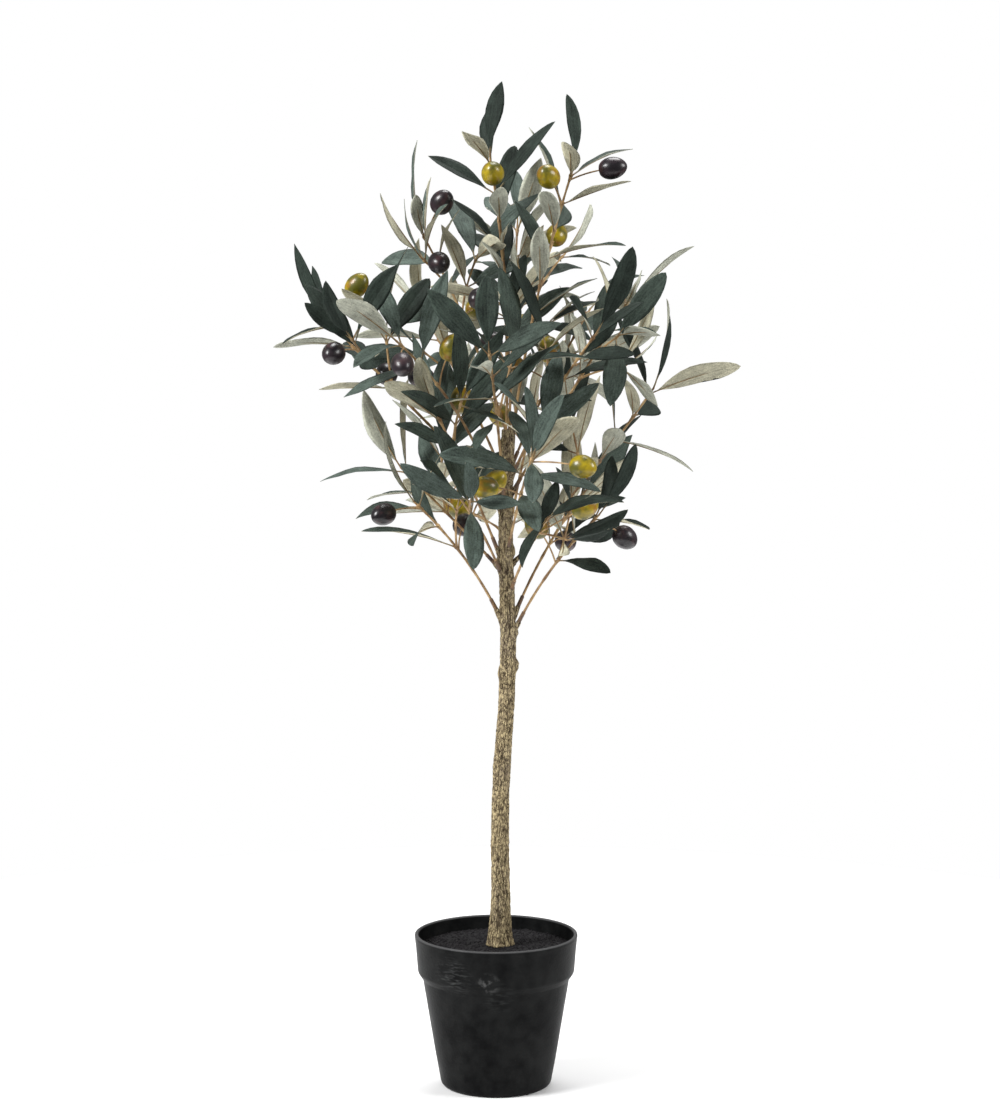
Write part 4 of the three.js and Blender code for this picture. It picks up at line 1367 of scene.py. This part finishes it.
class Blade:
    """One leaf's own bends: how it folds, waves, twists, curls and drifts sideways."""

    def __init__(self, arc, width, draw, settings, play):
        self.arc, self.width = arc, width * settings.slimness
        self.fold = settings.fold * draw(0.3, 1.7)
        self.wave = settings.wave / MM * draw(0.4, 1.5)
        self.ripples = draw(1.2, 2.4)
        self.phase = draw(0.0, FULL_TURN)
        turn = draw(-1.0, 1.0)
        self.twist = settings.twist * turn * abs(turn)
        self.curl = 0.045 + draw(-0.095, 0.095) * play
        self.drift = draw(-0.04, 0.04) * (play - 1.0)
        self.belly = draw(0.88, 1.3)
        self.point = draw(0.58, 0.92)

    def half_width(self, t):
        """Half of the leaf's width in millimetres, never less than its stalk's except close to the tip."""
        blade = blade_share(t, self.belly, self.point) * self.width / 2.0
        return np.maximum(blade, 0.75 * np.clip((1.0 - t) / 0.1, 0.0, 1.0))

    def frame_at(self, t):
        """Middle, sideways and upper directions at a share of the length."""
        s = t * self.arc.length
        upper = -self.arc.leaning(s)
        past_stalk = np.clip(t - TURN_SHARE, 0.0, 1.0)
        turn = (self.twist * past_stalk)[:, None]
        side = self.arc.side * np.cos(turn) + upper * np.sin(turn)
        upper = upper * np.cos(turn) - self.arc.side * np.sin(turn)
        droop = self.curl * self.arc.length * np.clip(t - DROOP_SHARE, 0.0, 1.0) ** 2
        away = self.drift * self.arc.length * past_stalk
        return self.arc.at(s) - upper * droop[:, None] + side * away[:, None], side, upper

    def skins(self, thickness):
        """Points of the upper and under skins, row by row, in millimetres."""
        middle, side, upper = self.frame_at(BLADE_ROWS)
        half = self.half_width(BLADE_ROWS)
        across = BLADE_COLUMNS[None] * half[:, None]
        lift = np.abs(across) * self.fold
        swing = np.sin(self.ripples * 2.0 * math.pi * BLADE_ROWS + self.phase)[:, None]
        sway = np.sin(self.ripples * 1.6 * math.pi * BLADE_ROWS + 2.1 * self.phase)[:, None]
        share = (half / half.max())[:, None]
        lift = lift + self.wave * share * (swing * np.maximum(BLADE_COLUMNS, 0) + sway * np.maximum(-BLADE_COLUMNS, 0))
        body = middle[:, None] + side[:, None] * across[..., None] + upper[:, None] * lift[..., None]
        thick = (thickness / 2.0) * np.sqrt(1.0 - BLADE_COLUMNS**2)[None, :, None] * upper[:, None]
        return body + thick, body - thick

    def skin_tree(self, faces):
        """The upper skin without its stalk, to find what crosses it."""
        stalk_faces = 2 * (len(BLADE_COLUMNS) - 1)
        return BVHTree.FromPolygons(self.skins(TRIED_THICKNESS)[0].reshape(-1, 3).tolist(), faces[stalk_faces:])

    def rib(self):
        """The wire along the underside, from the stem to past the middle of the blade."""
        t = np.array([0.0, 0.06, 0.12, 0.2, 0.32, 0.45, 0.58, 0.68])
        radii = np.array([0.85, 0.72, 0.66, 0.56, 0.5, 0.43, 0.34, 0.12])
        middle, _, upper = self.frame_at(t)
        sink = np.array([0.0, 0.0, 0.2, 0.35, 0.35, 0.32, 0.26, 0.1])
        return to_metres(middle - upper * sink[:, None]), radii * MM


def blade_faces():
    """Faces of one closed blade: those of its upper skin and those of its under skin."""
    rows, columns = len(BLADE_ROWS), len(BLADE_COLUMNS)
    upper = grid_faces(rows, columns)
    count = rows * columns
    under_of = np.arange(count) + count
    edge = (np.arange(count) % columns == 0) | (np.arange(count) % columns == columns - 1)
    under_of[edge] = np.arange(count)[edge]
    under = under_of[upper][:, ::-1]
    return upper, under


def least_crossed(arc, width, draw, settings, faces, placed):
    """Of some bends for one leaf, the one that crosses the leaves so far least."""
    middle = arc.at(arc.length / 2.0)
    near = [tree for place, tree in placed if np.linalg.norm(place - middle) < arc.length * 1.1]
    fewest, best = None, None
    for play in PLAYS:
        blade = Blade(arc, width, draw, settings, play)
        tree = blade.skin_tree(faces)
        crossings = sum(len(tree.overlap(other)) for other in near)
        if fewest is None or crossings < fewest:
            fewest, best = crossings, (blade, tree)
        if crossings == 0:
            break
    placed.append((middle, best[1]))
    return best[0]


class OLIVETREE_OT_leaves(bpy.types.Operator):
    """Cuts every leaf as a thin two-tone blade with the wire that holds it from below"""

    bl_idname = "olivetree.leaves"
    bl_label = "Leaves"

    def execute(self, context):
        settings = context.scene.olive_leaves
        stem_settings = context.scene.olive_stems
        tree = olive_tree()
        draw = seeded(BLADE_SEED)
        upper_faces, under_faces = blade_faces()
        skin_faces = upper_faces.tolist()
        rows, columns = len(BLADE_ROWS), len(BLADE_COLUMNS)
        points, faces, slots, maps, ribs, placed = [], [], [], [], [], []
        for number, arc, width in tree.leaves:
            blade = least_crossed(arc, width, draw, settings, skin_faces, placed)
            above, below = blade.skins(settings.thickness / MM)
            first = len(points) * 2 * rows * columns
            points.append(np.vstack([above.reshape(-1, 3), below.reshape(-1, 3)]))
            faces.append(upper_faces + first)
            faces.append(under_faces + first)
            # The three upper colours are one green at three brightnesses: partly tints, partly painted shade and
            # painted sheen
            upper_tint, under_tint = number % 3, 3 + (number + (draw(0, 1) < 0.3)) % 2
            slots.extend([upper_tint] * len(upper_faces) + [under_tint] * len(under_faces))
            across = (BLADE_COLUMNS[None] * blade.half_width(BLADE_ROWS)[:, None]).ravel() * MM
            along = np.repeat(BLADE_ROWS * arc.length, columns) * MM
            maps.append(np.tile(np.stack([across, along], axis=1), (2, 1)))
            ribs.append(blade.rib())
        finishes = [
            woven_leaf("leaf_upper", settings.upper, 0.66, 0.55),
            woven_leaf("leaf_upper_deep", settings.upper_tint_and_shade, 0.66, 0.55),
            woven_leaf("leaf_upper_soft", settings.upper_tint_and_sheen, 0.66, 0.55),
            woven_leaf("leaf_under", settings.under, 0.85, 0.42),
            woven_leaf("leaf_under_warm", settings.under_warm, 0.85, 0.42),
        ]
        leaves = mesh_object("leaves", to_metres(np.vstack(points)), np.vstack(faces), finishes, slots)
        self.finish_blades(leaves, np.vstack(maps))
        settled(leaves, "leaf_fabric", *FOLIAGE_NODES)
        rib_finish = golden_plastic("rib_plastic", stem_settings.rib_colour, stem_settings.dark_colour)
        wires = grown_by(tube_nodes(), "leaf_ribs", lines_carrier(ribs), rib_finish, Sides=6, Girth=1.0)
        settled(wires, "stem_plastic")
        return {"FINISHED"}

    @staticmethod
    def finish_blades(leaves, maps):
        """Writes the blade map, sharpens the crease, and drops unused and doubled points."""
        mesh = leaves.data
        count = len(mesh.loops)
        vertex = np.empty(count, np.int32)
        mesh.loops.foreach_get("vertex_index", vertex)
        layer = mesh.uv_layers.new(name="blade")
        layer.data.foreach_set("uv", maps[vertex].astype(np.float32).ravel())
        columns = len(BLADE_COLUMNS)
        ends = np.empty(len(mesh.edges) * 2, np.int32)
        mesh.edges.foreach_get("vertices", ends)
        crease = ((ends.reshape(-1, 2) % columns) == columns // 2).all(axis=1)
        sharp = mesh.attributes.new("sharp_edge", "BOOLEAN", "EDGE")
        sharp.data.foreach_set("value", crease)
        used = np.zeros(len(mesh.vertices), bool)
        used[vertex] = True
        solid = bmesh.new()
        solid.from_mesh(mesh)
        solid.verts.ensure_lookup_table()
        bmesh.ops.delete(solid, geom=[solid.verts[i] for i in np.flatnonzero(~used)], context="VERTS")
        bmesh.ops.remove_doubles(solid, verts=solid.verts[:], dist=1e-7)
        solid.to_mesh(mesh)
        solid.free()


def olive_shape(radius, half_length):
    """An olive on Z: a little fuller near the stalk, with a dimple there and a small point at its end."""
    outline = []
    for a in np.linspace(0.0, math.pi, 15):
        z = -math.cos(a)
        r = math.sin(a) ** 0.96 * (1.0 - 0.07 * z)
        end = half_length * (z + 0.035 * max(0.0, z) ** 14) * 0.985
        dimple = 0.06 * half_length * math.exp(-((1.0 + z) / 0.03))
        outline.append((radius * r, end + dimple))
    outline[0] = (0.0, outline[0][1])
    outline[-1] = (0.0, outline[-1][1])
    points, faces = lathed(outline, 20)
    return mesh_object("olive", points, faces, [])


class OLIVETREE_OT_olives(bpy.types.Operator):
    """Hangs the ripe and the unripe olives on their stalks"""

    bl_idname = "olivetree.olives"
    bl_label = "Olives"

    def execute(self, context):
        settings = context.scene.olive_fruit
        tree = olive_tree()
        draw = seeded(OLIVE_SEED)
        sorts = {"ripe": [], "unripe": []}
        for _, stalk, middle in tree.olives:
            sort = "ripe" if draw(0.0, 1.0) < RIPE_SHARE else "unripe"
            way = stalk.heading(stalk.length)
            girth = draw(0.94, 1.0)
            sorts[sort].append((to_metres(middle), way, stalk.side, (girth, girth, draw(0.94, 1.0))))
        finishes = {
            "ripe": olive_skin("olive_ripe", settings.ripe, settings.ripe_patch, settings.ripe_blush, 0.36, 0.25),
            "unripe": olive_skin(
                "olive_unripe", settings.unripe, settings.unripe_patch, settings.unripe_blush, 0.34, 0.3
            ),
        }
        shape = olive_shape(settings.radius, settings.half_length)
        nodes = placing_nodes()
        for sort, olives in sorts.items():
            carrier = points_carrier(*zip(*olives))
            fruit = grown_by(nodes, f"olives_{sort}", carrier, finishes[sort], Shape=shape, Size=1.0)
            settled(fruit, "leaf_fabric")
        bpy.data.objects.remove(shape)
        return {"FINISHED"}


# The camera as fitted to the photo: its place in metres, its dip in degrees, and its focal length and
# the photo's height in pixels
CAMERA_PLACE = (0.0035, -3.2, 0.9124)
CAMERA_DIP = 7.59
FOCAL_PIXELS = 3645.0
PHOTO_HEIGHT = 1100.0

# Where the lights point, and how far the floor reaches, in metres
LIGHTS_AIM = Vector((0.0, 0.0, 0.5))
FLOOR_RADIUS = 1.0


class OLIVETREE_OT_studio(bpy.types.Operator):
    """Sets the pale floor, its white surround, the soft lights and the camera"""

    bl_idname = "olivetree.studio"
    bl_label = "Studio"

    def execute(self, context):
        settings = context.scene.olive_studio
        self.add_floor(settings)
        self.add_light("key", (-2.1, -1.1, 2.0), 1.3, settings.key_power)
        self.add_light("fill", (2.3, -0.7, 1.6), 1.3, settings.fill_power)
        self.add_light("top", (0.2, 0.9, 2.6), 1.4, settings.top_power)
        self.add_surround(context.scene, settings)
        context.scene.view_settings.view_transform = "Standard"
        camera = bpy.data.objects.new("Camera", bpy.data.cameras.new("Camera"))
        context.collection.objects.link(camera)
        camera.location = CAMERA_PLACE
        camera.rotation_euler = (math.radians(90.0 - CAMERA_DIP), 0.0, 0.0)
        camera.data.lens = FOCAL_PIXELS / PHOTO_HEIGHT * camera.data.sensor_width
        context.scene.camera = camera
        return {"FINISHED"}

    @staticmethod
    def add_floor(settings):
        """A round paper floor, flat and with no wall, so that the tree can be seen from every side"""
        angle = np.linspace(0.0, 2 * math.pi, 96, endpoint=False)
        rim = [(FLOOR_RADIUS * math.cos(a), FLOOR_RADIUS * math.sin(a), 0.0) for a in angle]
        finish = Finish("floor_paper", settings.floor, 0.8)
        floor = mesh_object("floor", rim, [tuple(range(len(rim)))], [finish.material])

    @staticmethod
    def add_surround(scene, settings):
        """A white surround that lights the tree only softly"""
        world = bpy.data.worlds.new("Studio")
        world.use_nodes = True
        nodes, links = world.node_tree.nodes, world.node_tree.links
        backing = nodes["Background"]
        backing.inputs["Color"].default_value = (1.0, 1.0, 1.0, 1.0)
        level = nodes.new("ShaderNodeMapRange")
        level.inputs["To Min"].default_value = settings.surroundings
        level.inputs["To Max"].default_value = 1.0
        links.new(nodes.new("ShaderNodeLightPath").outputs["Is Camera Ray"], level.inputs["Value"])
        links.new(level.outputs["Result"], backing.inputs["Strength"])
        scene.world = world

    @staticmethod
    def add_light(name, place, size, power):
        """A round lamp that faces the tree's middle"""
        lamp = bpy.data.lights.new(name, "AREA")
        lamp.shape = "DISK"
        lamp.size = size
        lamp.energy = power
        light = bpy.data.objects.new(name, lamp)
        light.location = place
        way = LIGHTS_AIM - Vector(place)
        light.rotation_euler = way.to_track_quat("-Z", "Y").to_euler()
        bpy.context.collection.objects.link(light)


SETTINGS = (
    ("olive_pot", PotSettings),
    ("olive_bark", BarkSettings),
    ("olive_stems", StemSettings),
    ("olive_leaves", LeafSettings),
    ("olive_fruit", OliveSettings),
    ("olive_studio", StudioSettings),
)

OPERATORS = (
    OLIVETREE_OT_studio,
    OLIVETREE_OT_pot,
    OLIVETREE_OT_filling,
    OLIVETREE_OT_trunk,
    OLIVETREE_OT_boughs,
    OLIVETREE_OT_twigs,
    OLIVETREE_OT_leaves,
    OLIVETREE_OT_olives,
)


class OLIVETREE_PT_sidebar(bpy.types.Panel):
    """Lists the tree's pieces and their settings"""

    bl_idname = "OLIVETREE_PT_sidebar"
    bl_label = "Olive Tree"
    bl_space_type = "VIEW_3D"
    bl_region_type = "UI"
    bl_category = "Olive Tree"

    def draw(self, context):
        for operator in OPERATORS:
            self.layout.operator(operator.bl_idname)
        for key, group in SETTINGS:
            box = self.layout.box()
            for prop in group.__annotations__:
                box.prop(getattr(context.scene, key), prop)


def register():
    for key, group in SETTINGS:
        bpy.utils.register_class(group)
        setattr(bpy.types.Scene, key, bpy.props.PointerProperty(type=group))
    for operator in OPERATORS:
        bpy.utils.register_class(operator)
    bpy.utils.register_class(OLIVETREE_PT_sidebar)


def unregister():
    bpy.utils.unregister_class(OLIVETREE_PT_sidebar)
    for operator in reversed(OPERATORS):
        bpy.utils.unregister_class(operator)
    for key, group in reversed(SETTINGS):
        delattr(bpy.types.Scene, key)
        bpy.utils.unregister_class(group)


def main():
    register()
    bpy.ops.olivetree.studio()
    bpy.ops.olivetree.pot()
    bpy.ops.olivetree.filling()
    bpy.ops.olivetree.trunk()
    bpy.ops.olivetree.boughs()
    bpy.ops.olivetree.twigs()
    bpy.ops.olivetree.leaves()
    bpy.ops.olivetree.olives()


if __name__ == "__main__":
    main()
